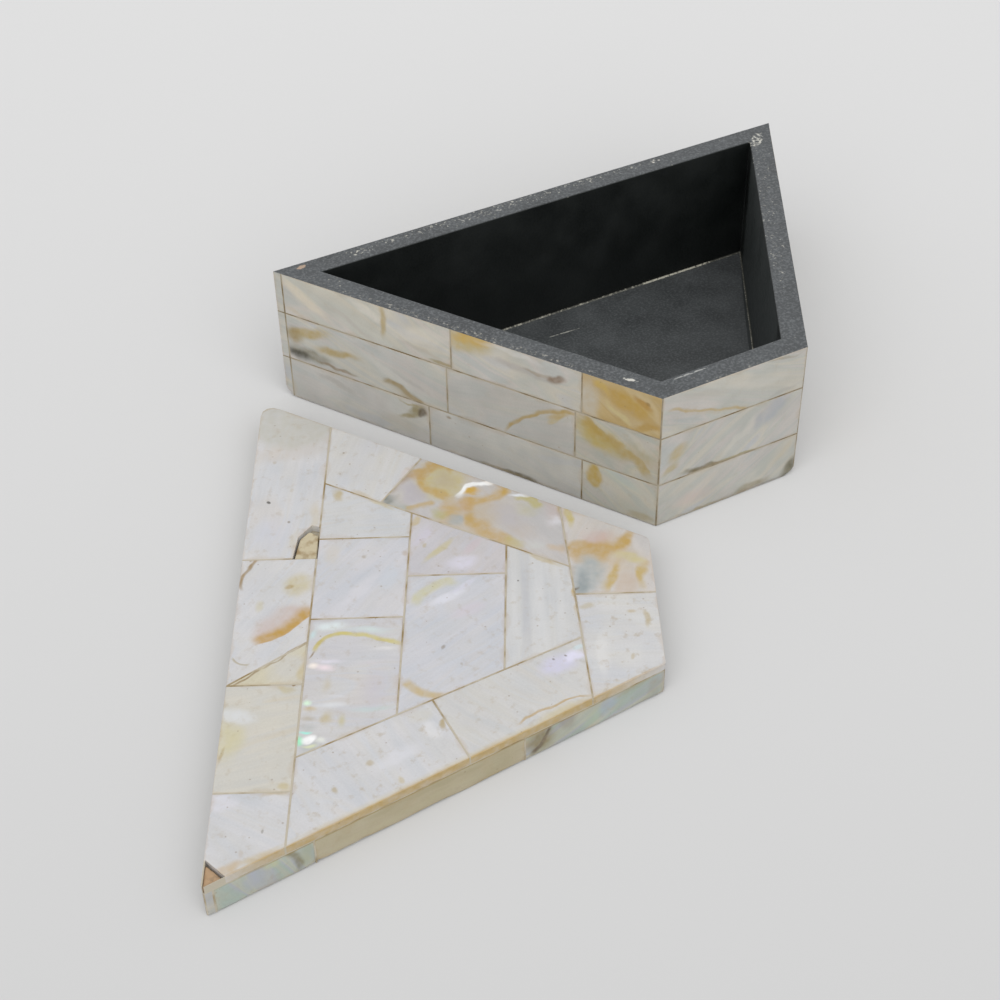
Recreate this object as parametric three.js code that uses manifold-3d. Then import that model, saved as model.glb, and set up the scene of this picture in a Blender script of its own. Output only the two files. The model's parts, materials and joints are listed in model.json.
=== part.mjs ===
// A small box and its lift-off lid, both trapezoids in plan, clad in shell tiles over black wood.
// The box stands open, and the lid lies beside it, shell side up.
// Millimetres, +Z up. The origin is the middle of the footprint of box and lid, on the table.

import * as THREE from 'three';
import { mergeVertices } from 'three/addons/utils/BufferGeometryUtils.js';
import Module from 'manifold-3d';

const wasm = await Module();
wasm.setup();

// Plan of the box, which the lid shares
const backLength = 150;
const frontLength = 40;
const planDepth = 92.5;

// Box
const boxHeight = 38;
const wallThickness = 6; // shell, glue and wood together
const floorThickness = 2.5;

// Lid
const lidThickness = 9;
const lidCornerRadii = { backLeft: 0.6, frontLeft: 1, frontRight: 2.5, backRight: 3 };

// Shell cladding
const shellThickness = 1.8;
const glueLine = 0.3;
const tileJoint = 0.35;
const footClearance = 0.3; // the side tiles stop just short of the table

// The lid lies with its right edge along the box's left side
const lidGap = 14.5;
const lidSlide = 4.5;
const lidAskew = THREE.MathUtils.degToRad(1.1);

// The courses of side tiles, as shares of the height, and the joints along each side
const courses = [
  {
    name: 'bottom',
    share: 0.33,
    joints: { left: [0.413, 0.813], front: [], right: [0.3, 0.62], back: [0.36, 0.7] },
  },
  {
    name: 'middle',
    share: 0.365,
    joints: { left: [0.465, 0.794], front: [], right: [0.24, 0.55], back: [0.27, 0.6] },
  },
  {
    name: 'top',
    share: 0.305,
    joints: { left: [0.479, 0.809], front: [], right: [0.34, 0.71], back: [0.31, 0.66] },
  },
];
const lidEdgeJoints = { left: [0.221, 0.671], front: [], right: [0.35, 0.68], back: [0.3, 0.55, 0.8] };

// Finishes: colour, roughness
const finishes = {
  lacquer: { color: 0x23292b, roughness: 0.45 },
  white: { color: 0xd9d8da, roughness: 0.3 },
  grey: { color: 0xc1bfb9, roughness: 0.35 },
  cream: { color: 0xdcd6c6, roughness: 0.35 },
  amber: { color: 0xcdb68f, roughness: 0.35 },
  green: { color: 0xaeb9b1, roughness: 0.3 },
};

// Tiles that differ from their neighbours' plain finish
const tileFinishes = {
  box_left_top_3: 'amber',
  box_left_middle_3: 'amber',
  box_left_bottom_3: 'amber',
  box_right_middle_1: 'amber',
  box_back_top_2: 'cream',
  box_back_bottom_1: 'amber',
  lid_edge_left_1: 'green',
  lid_edge_left_2: 'cream',
  lid_edge_left_3: 'green',
  lid_top_back_2: 'cream',
  lid_top_back_3: 'cream',
  lid_top_right_2: 'amber',
  lid_top_front_2: 'amber',
  lid_top_field_a_1: 'green',
};

// Plan geometry

const vec = (x, y) => new THREE.Vector2(x, y);
const lineThrough = (from, to) => ({ from, direction: to.clone().sub(from).normalize() });

const corner = {
  backLeft: vec(-backLength / 2, 0),
  frontLeft: vec(-frontLength / 2, -planDepth),
  frontRight: vec(frontLength / 2, -planDepth),
  backRight: vec(backLength / 2, 0),
};
const cornerNames = ['backLeft', 'frontLeft', 'frontRight', 'backRight'];

// The sides run anticlockwise seen from above, so the inside is on the left of each
const sides = {
  left: lineThrough(corner.backLeft, corner.frontLeft),
  front: lineThrough(corner.frontLeft, corner.frontRight),
  right: lineThrough(corner.frontRight, corner.backRight),
  back: lineThrough(corner.backRight, corner.backLeft),
};

// Distance of a point from a line, positive on the line's left
function offsetFrom(line, point) {
  return line.direction.cross(point.clone().sub(line.from));
}

// The same line moved to its left
function shifted(line, distance) {
  const left = vec(-line.direction.y, line.direction.x);
  return { from: line.from.clone().addScaledVector(left, distance), direction: line.direction };
}

function crossing(first, second) {
  const along = second.direction.cross(second.from.clone().sub(first.from));
  const share = along / second.direction.cross(first.direction);
  return first.from.clone().addScaledVector(first.direction, share);
}

// A cut keeps what lies after its line, on the left, or before it, on the right
const after = (line) => ({ line, sign: 1 });
const before = (line) => ({ line, sign: -1 });

// The part of a convex outline that a cut keeps, moved back from the cut by a clearance
function clipped(points, cut, clearance) {
  const depth = points.map((point) => cut.sign * offsetFrom(cut.line, point) - clearance);
  const kept = [];
  points.forEach((point, i) => {
    const next = (i + 1) % points.length;
    if (depth[i] >= 0) kept.push(point);
    if (depth[i] >= 0 !== depth[next] >= 0) {
      kept.push(point.clone().lerp(points[next], depth[i] / (depth[i] - depth[next])));
    }
  });
  return kept;
}

// The plan outline set in from every side, with its corners rounded
function outline(inset, radii = {}) {
  const names = Object.keys(sides);
  const moved = names.map((name) => shifted(sides[name], inset));
  return moved.flatMap((side, i) => {
    const previous = moved[(i + names.length - 1) % names.length];
    const point = crossing(previous, side);
    const radius = (radii[cornerNames[i]] ?? 0) - inset;
    return radius > 0 ? roundedCorner(previous, side, radius) : [point];
  });
}

// An arc that touches two sides, in steps
function roundedCorner(arriving, leaving, radius) {
  const steps = 4;
  const centre = crossing(shifted(arriving, radius), shifted(leaving, radius));
  const start = arriving.direction.angle() - Math.PI / 2;
  const turn = arriving.direction.clone().angleTo(leaving.direction);
  const points = [];
  for (let i = 0; i <= steps; i += 1) {
    const angle = start + (turn * i) / steps;
    points.push(centre.clone().add(vec(Math.cos(angle), Math.sin(angle)).multiplyScalar(radius)));
  }
  return points;
}

// Solids

function prism(points, bottom, top) {
  const geometry = new THREE.ExtrudeGeometry(new THREE.Shape(points), {
    depth: top - bottom,
    bevelEnabled: false,
  });
  return geometry.translate(0, 0, bottom);
}

function toSolid(geometry) {
  const bare = geometry.clone();
  bare.deleteAttribute('normal');
  bare.deleteAttribute('uv');
  const merged = mergeVertices(bare);
  return new wasm.Manifold(
    new wasm.Mesh({
      numProp: 3,
      vertProperties: merged.attributes.position.array,
      triVerts: Uint32Array.from(merged.index.array),
    }),
  );
}

function toGeometry(solid) {
  const mesh = solid.getMesh();
  const geometry = new THREE.BufferGeometry();
  geometry.setAttribute('position', new THREE.BufferAttribute(mesh.vertProperties, 3));
  geometry.setIndex(new THREE.BufferAttribute(mesh.triVerts, 1));
  const flat = geometry.toNonIndexed();
  flat.computeVertexNormals();
  return flat;
}

function piece(name, geometry, finish) {
  const { color, roughness } = finishes[finish];
  const material = new THREE.MeshStandardMaterial({ color, roughness, metalness: 0, name: finish });
  const mesh = new THREE.Mesh(geometry, material);
  mesh.name = name;
  return mesh;
}

function tile(name, points, bottom, top, plainFinish) {
  return piece(name, prism(points, bottom, top), tileFinishes[name] ?? plainFinish);
}

// Cladding of the sides

// The lines where a side's tiles end: square against the back tiles, mitred at the front corners
const backOfSides = shifted(sides.back, shellThickness + tileJoint / 2);
const mitreLeft = lineThrough(corner.frontLeft, crossing(shifted(sides.left, 1), shifted(sides.front, 1)));
const mitreRight = lineThrough(corner.frontRight, crossing(shifted(sides.front, 1), shifted(sides.right, 1)));
const sideEnds = {
  left: [after(backOfSides), after(mitreLeft)],
  front: [before(mitreLeft), after(mitreRight)],
  right: [before(mitreRight), after(backOfSides)],
  back: [],
};

// A joint square to a side, at a share of its length
function squareJoint(sideName, share) {
  const order = Object.keys(sides);
  const next = corner[cornerNames[(order.indexOf(sideName) + 1) % order.length]];
  const side = sides[sideName];
  const foot = side.from.clone().lerp(next, share);
  return { from: foot, direction: vec(side.direction.y, -side.direction.x) };
}

// The strips between neighbouring joints, in the order of the joints
function between(joints) {
  return Array.from({ length: joints.length + 1 }, (_, i) => [
    ...(i > 0 ? [after(joints[i - 1])] : []),
    ...(i < joints.length ? [before(joints[i])] : []),
  ]);
}

// One course of tiles on one side of a plan outline
function sideCourse(prefix, sideName, shares, plan, bottom, top) {
  const face = clipped(plan, before(shifted(sides[sideName], shellThickness)), 0);
  const strip = sideEnds[sideName].reduce((points, cut) => clipped(points, cut, tileJoint / 2), face);
  const joints = shares.map((share) => squareJoint(sideName, share));
  return between(joints).map((cuts, i) => {
    const points = cuts.reduce((rest, cut) => clipped(rest, cut, tileJoint / 2), strip);
    return tile(`${prefix}_${i + 1}`, points, bottom, top, 'grey');
  });
}

// Box

function carcass() {
  const outer = prism(outline(shellThickness + glueLine), 0, boxHeight);
  const hollow = prism(outline(wallThickness), floorThickness, boxHeight + floorThickness);
  return piece('box_carcass', toGeometry(toSolid(outer).subtract(toSolid(hollow))), 'lacquer');
}

function boxCladding() {
  const tiles = [];
  const clad = boxHeight - footClearance;
  let bottom = footClearance;
  courses.forEach((course, i) => {
    const isTop = i === courses.length - 1;
    const top = bottom + clad * course.share;
    Object.entries(course.joints).forEach(([sideName, shares]) => {
      const prefix = `box_${sideName}_${course.name}`;
      tiles.push(...sideCourse(prefix, sideName, shares, outline(0), bottom, isTop ? top : top - tileJoint));
    });
    bottom = top;
  });
  return tiles;
}

// Lid

// A point of the lid's plan, by its share of the back length and of the depth
const planPoint = (across, down) => vec((across - 0.5) * backLength, -down * planDepth);
const onLeft = (share) => corner.backLeft.clone().lerp(corner.frontLeft, share);
const onRight = (share) => corner.backRight.clone().lerp(corner.frontRight, share);
const onBack = (share) => corner.backLeft.clone().lerp(corner.backRight, share);
const onFront = (share) => corner.frontLeft.clone().lerp(corner.frontRight, share);

// Joints that part tiles in front from tiles behind, and tiles to the right from tiles to the left
const rowJoint = (left, right) => lineThrough(onRight(right), onLeft(left));
const columnJoint = (back, front) => lineThrough(onBack(back), onFront(front));
const straightJoint = (across) => lineThrough(planPoint(across, 0), planPoint(across, 1));

// A border of tiles goes round three rows of field tiles
function lidStrips() {
  const backRow = rowJoint(0.165, 0.192);
  const frontRow = rowJoint(0.827, 0.786);
  const fieldA = rowJoint(0.38, 0.421);
  const fieldB = rowJoint(0.623, 0.656);
  const leftBorder = columnJoint(0.156, 0.444);
  const rightBorder = columnJoint(0.849, 0.516);
  const wedge = lineThrough(planPoint(0.347, 0), planPoint(0.433, 0.185));
  const leftCross = lineThrough(planPoint(0.305, 0.471), onLeft(0.55));
  const rightCross = lineThrough(onRight(0.435), planPoint(0.734, 0.334));
  const field = [after(leftBorder), before(rightBorder)];
  return {
    back: {
      within: [before(backRow)],
      joints: [straightJoint(0.153), straightJoint(0.347), wedge, straightJoint(0.608)],
    },
    left: { within: [after(backRow), before(leftBorder), before(frontRow)], joints: [leftCross] },
    right: { within: [after(backRow), after(rightBorder), before(frontRow)], joints: [rightCross] },
    front: { within: [after(frontRow)], joints: [straightJoint(0.513)] },
    field_a: {
      within: [after(backRow), before(fieldA), ...field],
      joints: [straightJoint(0.476), straightJoint(0.651)],
    },
    field_b: { within: [after(fieldA), before(fieldB), ...field], joints: [straightJoint(0.563)] },
    field_c: { within: [after(fieldB), before(frontRow), ...field], joints: [] },
  };
}

// Corners broken off the lid's tiles: the lost corner lies before the line
const lidBreaks = {
  lid_top_back_1: lineThrough(planPoint(0.045, 0), planPoint(0.022, 0.04)),
  lid_top_back_5: lineThrough(planPoint(0.608, 0.13), planPoint(0.676, 0.2)),
};

function lidTop() {
  const plan = outline(0, lidCornerRadii);
  return Object.entries(lidStrips()).flatMap(([row, { within, joints }]) =>
    between(joints).map((cuts, i) => {
      const name = `lid_top_${row}_${i + 1}`;
      const whole = [...within, ...cuts].reduce((rest, cut) => clipped(rest, cut, tileJoint / 2), plan);
      const points = lidBreaks[name] ? clipped(whole, after(lidBreaks[name]), 0) : whole;
      return tile(name, points, lidThickness - shellThickness, lidThickness, 'white');
    }),
  );
}

function lidEdge() {
  const plan = outline(0, lidCornerRadii);
  const top = lidThickness - shellThickness - glueLine;
  return Object.entries(lidEdgeJoints).flatMap(([sideName, shares]) =>
    sideCourse(`lid_edge_${sideName}`, sideName, shares, plan, footClearance, top),
  );
}

function lidBoard() {
  const plan = outline(shellThickness + glueLine, lidCornerRadii);
  return piece('lid_board', prism(plan, 0, lidThickness - shellThickness - glueLine), 'lacquer');
}

function lid() {
  const group = new THREE.Group();
  group.add(lidBoard(), ...lidTop(), ...lidEdge());
  const outwards = (side) => vec(side.direction.y, -side.direction.x);
  const facing = outwards(sides.left).angle() + Math.PI - outwards(sides.right).angle();
  group.rotation.z = facing + lidAskew;
  const edgeMiddle = onRight(0.5).rotateAround(vec(0, 0), group.rotation.z);
  const place = onLeft(0.5)
    .addScaledVector(outwards(sides.left), lidGap)
    .addScaledVector(sides.left.direction, lidSlide)
    .sub(edgeMiddle);
  group.position.set(place.x, place.y, 0);
  return group;
}

// Whole model, moved so that the origin is the middle of its footprint

const model = new THREE.Group();
model.add(carcass(), ...boxCladding(), lid());
model.updateMatrixWorld(true);
const middle = new THREE.Box3().setFromObject(model, true).getCenter(new THREE.Vector3());
model.position.set(-middle.x, -middle.y, 0);

export default model;
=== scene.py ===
"""Shell box: a small trapezoid box with its lift-off lid beside it, clad in polished mother-of-pearl tiles.

Everything is in metres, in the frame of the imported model. Sizes that a maker would name are given in
millimetres and multiplied by MM. Each tile of the model is copied, worn at its arrises and dressed as real
shell, and brown filler is cast into the joints between the tiles.
"""
import json
import logging
import math
import random
from collections.abc import Iterable
from dataclasses import dataclass, field, replace
from enum import Enum

import bmesh
import bpy
from mathutils import Matrix, Vector, noise


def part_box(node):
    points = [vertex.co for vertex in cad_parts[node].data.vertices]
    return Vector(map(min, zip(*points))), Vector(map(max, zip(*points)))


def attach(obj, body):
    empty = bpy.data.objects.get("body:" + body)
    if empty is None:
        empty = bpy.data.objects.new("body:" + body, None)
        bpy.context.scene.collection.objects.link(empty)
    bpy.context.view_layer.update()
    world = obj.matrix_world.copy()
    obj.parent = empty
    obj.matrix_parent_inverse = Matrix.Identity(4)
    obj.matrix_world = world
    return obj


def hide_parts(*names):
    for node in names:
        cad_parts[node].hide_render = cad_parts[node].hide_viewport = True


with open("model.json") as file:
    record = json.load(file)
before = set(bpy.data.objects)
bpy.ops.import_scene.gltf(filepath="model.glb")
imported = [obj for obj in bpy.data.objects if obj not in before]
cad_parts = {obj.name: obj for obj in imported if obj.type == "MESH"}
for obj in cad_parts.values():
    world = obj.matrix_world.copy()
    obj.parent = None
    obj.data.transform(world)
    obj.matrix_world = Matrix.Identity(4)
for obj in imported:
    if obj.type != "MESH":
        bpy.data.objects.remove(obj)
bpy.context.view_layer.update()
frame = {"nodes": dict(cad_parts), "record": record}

MM = 0.001
UP = Vector((0, 0, 1))
SHEET = "sheet"
GROWTH = "growth"
EDGE = "edge"
BODY = "root"
LOG = logging.getLogger("shell_box")

Socket = bpy.types.NodeSocket
Material = bpy.types.Material
Shape = bmesh.types.BMesh
Point = tuple[float, float]
Feed = dict[int | str, object]
Stops = tuple[tuple[float, str], ...]

# Settings that many nodes share.
SMOOTH = {"interpolation_type": "SMOOTHSTEP"}
FLAT_NOISE = {"noise_dimensions": "2D"}
COLOURS = {"data_type": "RGBA"}


def linear(code: str) -> tuple[float, float, float, float]:
    """Turns an sRGB hex colour to the linear values that a shader takes.

    Args:
        code: six hex digits, such as "d6d6d6".

    Returns:
        Linear red, green and blue, and an alpha of 1.
    """
    shares = [int(code[i : i + 2], 16) / 255 for i in (0, 2, 4)]
    red, green, blue = (s / 12.92 if s <= 0.04045 else ((s + 0.055) / 1.055) ** 2.4 for s in shares)
    return (red, green, blue, 1.0)


@dataclass
class Paint:
    """A material in the making."""

    name: str
    material: Material = field(init=False)

    def __post_init__(self) -> None:
        """Starts the material with an empty node tree."""
        self.material = bpy.data.materials.new(self.name)
        self.material.use_nodes = True
        self.material.node_tree.nodes.clear()

    def add(
        self, kind: str, feed: Feed, out: int | str = 0, stops: Stops = (), **settings: object
    ) -> Socket:
        """Adds one node with its settings and links.

        Args:
            kind: the node's type name, without "ShaderNode".
            feed: input name or number to a socket to link, a hex colour or a plain value.
            out: which output to hand back.
            stops: places and hex colours, for a colour ramp.
            settings: the node's own properties.

        Returns:
            The chosen output socket.
        """
        tree = self.material.node_tree
        node = tree.nodes.new(f"ShaderNode{kind}")
        for key, value in settings.items():
            setattr(node, key, value)
        for key, value in feed.items():
            if isinstance(value, Socket):
                tree.links.new(value, node.inputs[key])
            else:
                node.inputs[key].default_value = linear(value) if isinstance(value, str) else value
        if stops:
            ramp = node.color_ramp.elements
            ramp[0].position, ramp[1].position = stops[0][0], stops[-1][0]
            for place, _ in stops[1:-1]:
                ramp.new(place)
            for element, (_, code) in zip(ramp, stops):
                element.color = linear(code)
        return node.outputs[out] if len(node.outputs) else node.inputs[0]


class Face(Enum):
    """The clad faces, by the start of their tiles' names and the corners that each runs between."""

    LID_TOP = ("lid_top_", "lid_back_left", "lid_back_right")
    LID_LEFT = ("lid_edge_left_", "lid_back_left", "lid_front_left")
    LID_FRONT = ("lid_edge_front_", "lid_front_left", "lid_front_right")
    LID_RIGHT = ("lid_edge_right_", "lid_front_right", "lid_back_right")
    LID_BACK = ("lid_edge_back_", "lid_back_right", "lid_back_left")
    BOX_LEFT = ("box_left_", "box_back_left", "box_front_left")
    BOX_FRONT = ("box_front_", "box_front_left", "box_front_right")
    BOX_RIGHT = ("box_right_", "box_front_right", "box_back_right")
    BOX_BACK = ("box_back_", "box_back_right", "box_back_left")


@dataclass(frozen=True)
class LidPlace:
    """Where the lid lies on the table: its turn, and the middle of its long back edge, in millimetres."""

    turn: float = 62.571
    middle: Point = (-80.733, -5.938)

    def world(self, along: float, down: float) -> Vector:
        """The point this far along the back edge from its middle, and this far down towards the front."""
        turned = Matrix.Rotation(math.radians(self.turn), 3, "Z") @ Vector((along, -down, 0.0))
        return turned + Vector((*self.middle, 0.0)) * MM


@dataclass(frozen=True)
class Sheet:
    """A clad face's own sheet of paper: where it starts, which way it runs, and which way is down on it."""

    start: Vector
    along: Vector
    down: Vector

    @property
    def out(self) -> Vector:
        """The way the face looks."""
        return self.down.cross(self.along)

    def flat(self, point: Vector) -> tuple[float, float, float]:
        """The point's place: millimetres along, down and proud of the sheet."""
        gap = (point - self.start) / MM
        return gap.dot(self.along), gap.dot(self.down), gap.dot(self.out)

    def world(self, along: float, down: float, proud: float = 0.0) -> Vector:
        """The point at these millimetres along, down and proud of the sheet, in the frame."""
        return self.start + (self.along * along + self.down * down + self.out * proud) * MM


@dataclass
class Plan:
    """The plan corners of box and lid, read from the model, and the sheet of each clad face."""

    lid: LidPlace = field(default_factory=LidPlace)
    names: tuple[str, ...] = ("back_left", "front_left", "front_right", "back_right")
    corners: dict[str, Vector] = field(default_factory=dict)
    tops: dict[str, float] = field(default_factory=dict)

    def __post_init__(self) -> None:
        """Reads the box's corners from its tiles and lays the same plan out again for the lid."""
        left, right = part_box("box_back_top_3"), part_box("box_back_top_1")
        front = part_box("box_front_top_1")
        self.tops = {"box": front[1].z, "lid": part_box("lid_top_back_1")[1].z}
        depth = left[1].y - front[0].y
        back_left = Vector((left[0].x, left[1].y, 0))
        back_right = Vector((right[1].x, right[1].y, 0))
        front_left = self.end_of(back_left, "box_left_top_3", depth)
        front_right = self.end_of(back_right, "box_right_top_1", depth)
        back, short = (back_right.x - back_left.x) / 2, (front_right.x - front_left.x) / 2
        boxed = (back_left, front_left, front_right, back_right)
        lidded = ((-back, 0), (-short, depth), (short, depth), (back, 0))
        for name, corner, place in zip(self.names, boxed, lidded):
            self.corners[f"box_{name}"] = corner
            self.corners[f"lid_{name}"] = self.lid.world(*place)

    @staticmethod
    def end_of(start: Vector, node: str, depth: float) -> Vector:
        """Runs a slanting side on to the front.

        Args:
            start: its corner at the back.
            node: its last tile, whose farthest corner lies on the side's outer face.
            depth: metres from the back to the front.

        Returns:
            Its corner at the front.
        """
        plan = [Vector((v.co.x, v.co.y, 0)) for v in frame["nodes"][node].data.vertices]
        way = max((point - start for point in plan), key=lambda gap: gap.length)
        return start - way * (depth / way.y)

    def sheet(self, face: Face) -> Sheet:
        """Lays the sheet of one face: an edge's runs from corner to corner and down from the top.

        Args:
            face: which face.

        Returns:
            The sheet.
        """
        _, first, last = face.value
        along = (self.corners[last] - self.corners[first]).normalized()
        down = along.cross(UP) if face is Face.LID_TOP else -UP
        return Sheet(self.corners[first] + UP * self.tops[first[:3]], along, down)

    def spread(self, thing: str, i: int) -> Vector:
        """The way in from a corner of box or lid, as long as it takes to leave both sides by 1 m.

        Args:
            thing: "box" or "lid".
            i: which corner, by its place in names.

        Returns:
            The way in, in plan.
        """
        ring = [self.corners[f"{thing}_{name}"] for name in self.names]
        into = (ring[i - 1] - ring[i]).normalized()
        away = (ring[(i + 1) % 4] - ring[i]).normalized()
        return (into + away) / abs(into.cross(away).z)

    def outline(self, thing: str, inset: float) -> list[Vector]:
        """The four corners of box or lid, anticlockwise from above and drawn in by an inset."""
        ring = [self.corners[f"{thing}_{name}"] for name in self.names]
        return [corner + self.spread(thing, i) * inset for i, corner in enumerate(ring)]


@dataclass(frozen=True)
class Spot:
    """A patch of colour, in millimetres on its sheet: a soft-edged ellipse, or a square-ended stripe."""

    colour: str
    along: float
    down: float
    half_length: float
    half_width: float
    turn: float = 0.0
    strength: float = 0.7
    soft: float = 0.7
    square: bool = False

    def mask(self, paint: Paint, where: Socket) -> Socket:
        """Says how much of the colour lies at each place of the sheet.

        Args:
            paint: the material in the making.
            where: the place on the sheet, in millimetres.

        Returns:
            A value from 0 to the strength.
        """
        middle, halves = (self.along, self.down, 0), (self.half_length, self.half_width, 1)
        turn = (0, 0, math.radians(self.turn))
        spot = paint.add("Mapping", {0: where, 1: middle, 2: turn, 3: halves}, vector_type="TEXTURE")
        if self.square:
            split = paint.add("SeparateXYZ", {0: paint.add("VectorMath", {0: spot}, operation="ABSOLUTE")})
            away = paint.add("Math", {0: split, 1: split.node.outputs["Y"]}, operation="MAXIMUM")
        else:
            away = paint.add("VectorMath", {0: spot}, 1, operation="LENGTH")
        fade: Feed = {0: away, 1: 1 - self.soft, 2: 1.0, 3: self.strength, 4: 0.0}
        return paint.add("MapRange", fade, **SMOOTH)


@dataclass(frozen=True)
class Arc:
    """A curved growth band of colour, through three points in millimetres on the sheet.

    It fades over inner towards the centre of its curve, and over outer away from it.
    """

    colour: str
    points: tuple[Point, Point, Point]
    inner: float = 1.0
    outer: float = 0.4
    strength: float = 0.8
    square: bool = False

    def circle(self) -> tuple[Vector, float]:
        """Finds the circle through the three points.

        Returns:
            The centre, and the radius in millimetres.
        """
        (ax, ay), (bx, by), (cx, cy) = self.points
        twice = 2 * (ax * (by - cy) + bx * (cy - ay) + cx * (ay - by))
        a, b, c = ax * ax + ay * ay, bx * bx + by * by, cx * cx + cy * cy
        across = a * (by - cy) + b * (cy - ay) + c * (ay - by)
        down = a * (cx - bx) + b * (ax - cx) + c * (bx - ax)
        middle = Vector((across / twice, down / twice, 0.0))
        return middle, (middle - Vector((ax, ay, 0))).length

    def mask(self, paint: Paint, where: Socket) -> Socket:
        """Says how much of the colour lies at each place of the sheet.

        Args:
            paint: the material in the making.
            where: the place on the sheet, in millimetres.

        Returns:
            A value from 0 to the strength.
        """
        centre, radius = self.circle()
        first, middle, last = (Vector((*p, 0)) for p in self.points)
        reach = max((first - middle).length, (last - middle).length)
        away = paint.add("VectorMath", {0: where, 1: centre}, 1, operation="DISTANCE")
        rise: Feed = {0: away, 1: radius - self.inner, 2: radius - 0.35 * self.inner}
        fall: Feed = {0: away, 1: radius, 2: radius + self.outer, 3: 1.0, 4: 0.0}
        inside, outside = paint.add("MapRange", rise, **SMOOTH), paint.add("MapRange", fall, **SMOOTH)
        along = paint.add("VectorMath", {0: where, 1: middle}, 1, operation="DISTANCE")
        ends: Feed = {0: along, 1: reach * 0.7, 2: reach * 1.05, 3: self.strength, 4: 0.0}
        band = paint.add("Math", {0: inside, 1: outside}, operation="MULTIPLY")
        return paint.add("Math", {0: band, 1: paint.add("MapRange", ends, **SMOOTH)}, operation="MULTIPLY")


Mark = Spot | Arc


@dataclass(frozen=True)
class Lacquer:
    """Black lacquer brushed on wood: satin black upright, greyed where it looks up by dust and rubbing and by
    painted light falling from above.

    Its marks are scuffs and chips, in millimetres from above.
    """

    name: str
    deep: str = "171b1a"
    dusty: str = "4d5050"
    grain: str = "7c8082"
    speckle: float = 0.35
    dust: str = "b5b2a8"
    chips: float = 0.8
    marks: tuple[Mark, ...] = ()

    def material(self) -> Material:
        """Makes the lacquer, with brush grain, dust specks and scuffs.

        Returns:
            The material.
        """
        paint = Paint(self.name)
        place = paint.add("TexCoord", {}, out="Object")
        # Faces that look up take the lighter colour: partly dust, partly painted light from above and, on the
        # rim, a painted sheen.
        normal = paint.add("NewGeometry", {}, out="True Normal")
        upward = paint.add("SeparateXYZ", {0: normal}, out="Z")
        facing = paint.add("MapRange", {0: upward, 1: 0.5, 2: 0.9})
        body = paint.add("Mix", {0: facing, 6: self.deep, 7: self.dusty}, 2, **COLOURS)
        # Rubbed patches, about 9 mm across.
        patch = paint.add("TexNoise", {0: place, "Scale": 1 / (9 * MM), "Detail": 4.0})
        worn = paint.add("MapRange", {0: patch, 1: 0.3, 2: 0.7, 3: 0.78, 4: 1.2})
        uneven = paint.add("Mix", {0: 1.0, 6: body, 7: worn}, 2, blend_type="MULTIPLY", **COLOURS)
        # Fine grain, 0.6 mm, drawn a little coarser than the real one so that it shows.
        fine = paint.add("TexNoise", {0: place, "Scale": 1 / (0.6 * MM), "Detail": 3.0})
        bright = paint.add("MapRange", {0: fine, 1: 0.45, 2: 0.72, 4: self.speckle})
        share = paint.add("Math", {0: bright, 1: facing}, operation="MULTIPLY")
        colour = paint.add("Mix", {0: share, 6: uneven, 7: self.grain}, 2, **COLOURS)
        # Dust and tiny chips, about 0.3 mm, that gather in some places only.
        chips = paint.add("TexVoronoi", {0: place, "Scale": 1 / (1.5 * MM)}, out="Distance")
        dots = paint.add("MapRange", {0: chips, 1: 0.08, 2: 0.2, 3: 1.0, 4: 0.0})
        some = paint.add("MapRange", {0: patch, 1: 0.56, 2: 0.7, 4: self.chips})
        share = paint.add("Math", {0: dots, 1: some}, operation="MULTIPLY")
        colour = paint.add("Mix", {0: share, 6: colour, 7: self.dust}, 2, **COLOURS)
        colour = self.scuffed(paint, place, colour)
        rough = paint.add("MapRange", {0: patch, 1: 0.3, 2: 0.7, 3: 0.42, 4: 0.62})
        bump = paint.add("Bump", {"Strength": 0.5, "Distance": 0.05 * MM, "Height": fine})
        feed: Feed = {"Base Color": colour, "Roughness": rough, "IOR": 1.5, "Normal": bump}
        paint.add("OutputMaterial", {0: paint.add("BsdfPrincipled", feed)})
        return paint.material

    def scuffed(self, paint: Paint, place: Socket, colour: Socket) -> Socket:
        """Lays the scuffs and chips on: whole where a mark is strong, and broken to specks where it is weak.

        Args:
            paint: the material in the making.
            place: Object coordinates, in metres.
            colour: the colour so far.

        Returns:
            The colour with the scuffs.
        """
        if not self.marks:
            return colour
        where = paint.add("VectorMath", {0: place, 1: (1 / MM, 1 / MM, 0)}, operation="MULTIPLY")
        grit: Feed = {0: place, "Scale": 1 / (0.9 * MM), "Detail": 4.0, "Roughness": 0.6}
        ragged = paint.add("TexNoise", grit)
        for mark in self.marks:
            both = paint.add("Math", {0: mark.mask(paint, where), 1: ragged}, operation="ADD")
            worn = paint.add("MapRange", {0: both, 1: 0.93, 2: 1.05})
            colour = paint.add("Mix", {0: worn, 6: colour, 7: mark.colour}, 2, **COLOURS)
        return colour


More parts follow.
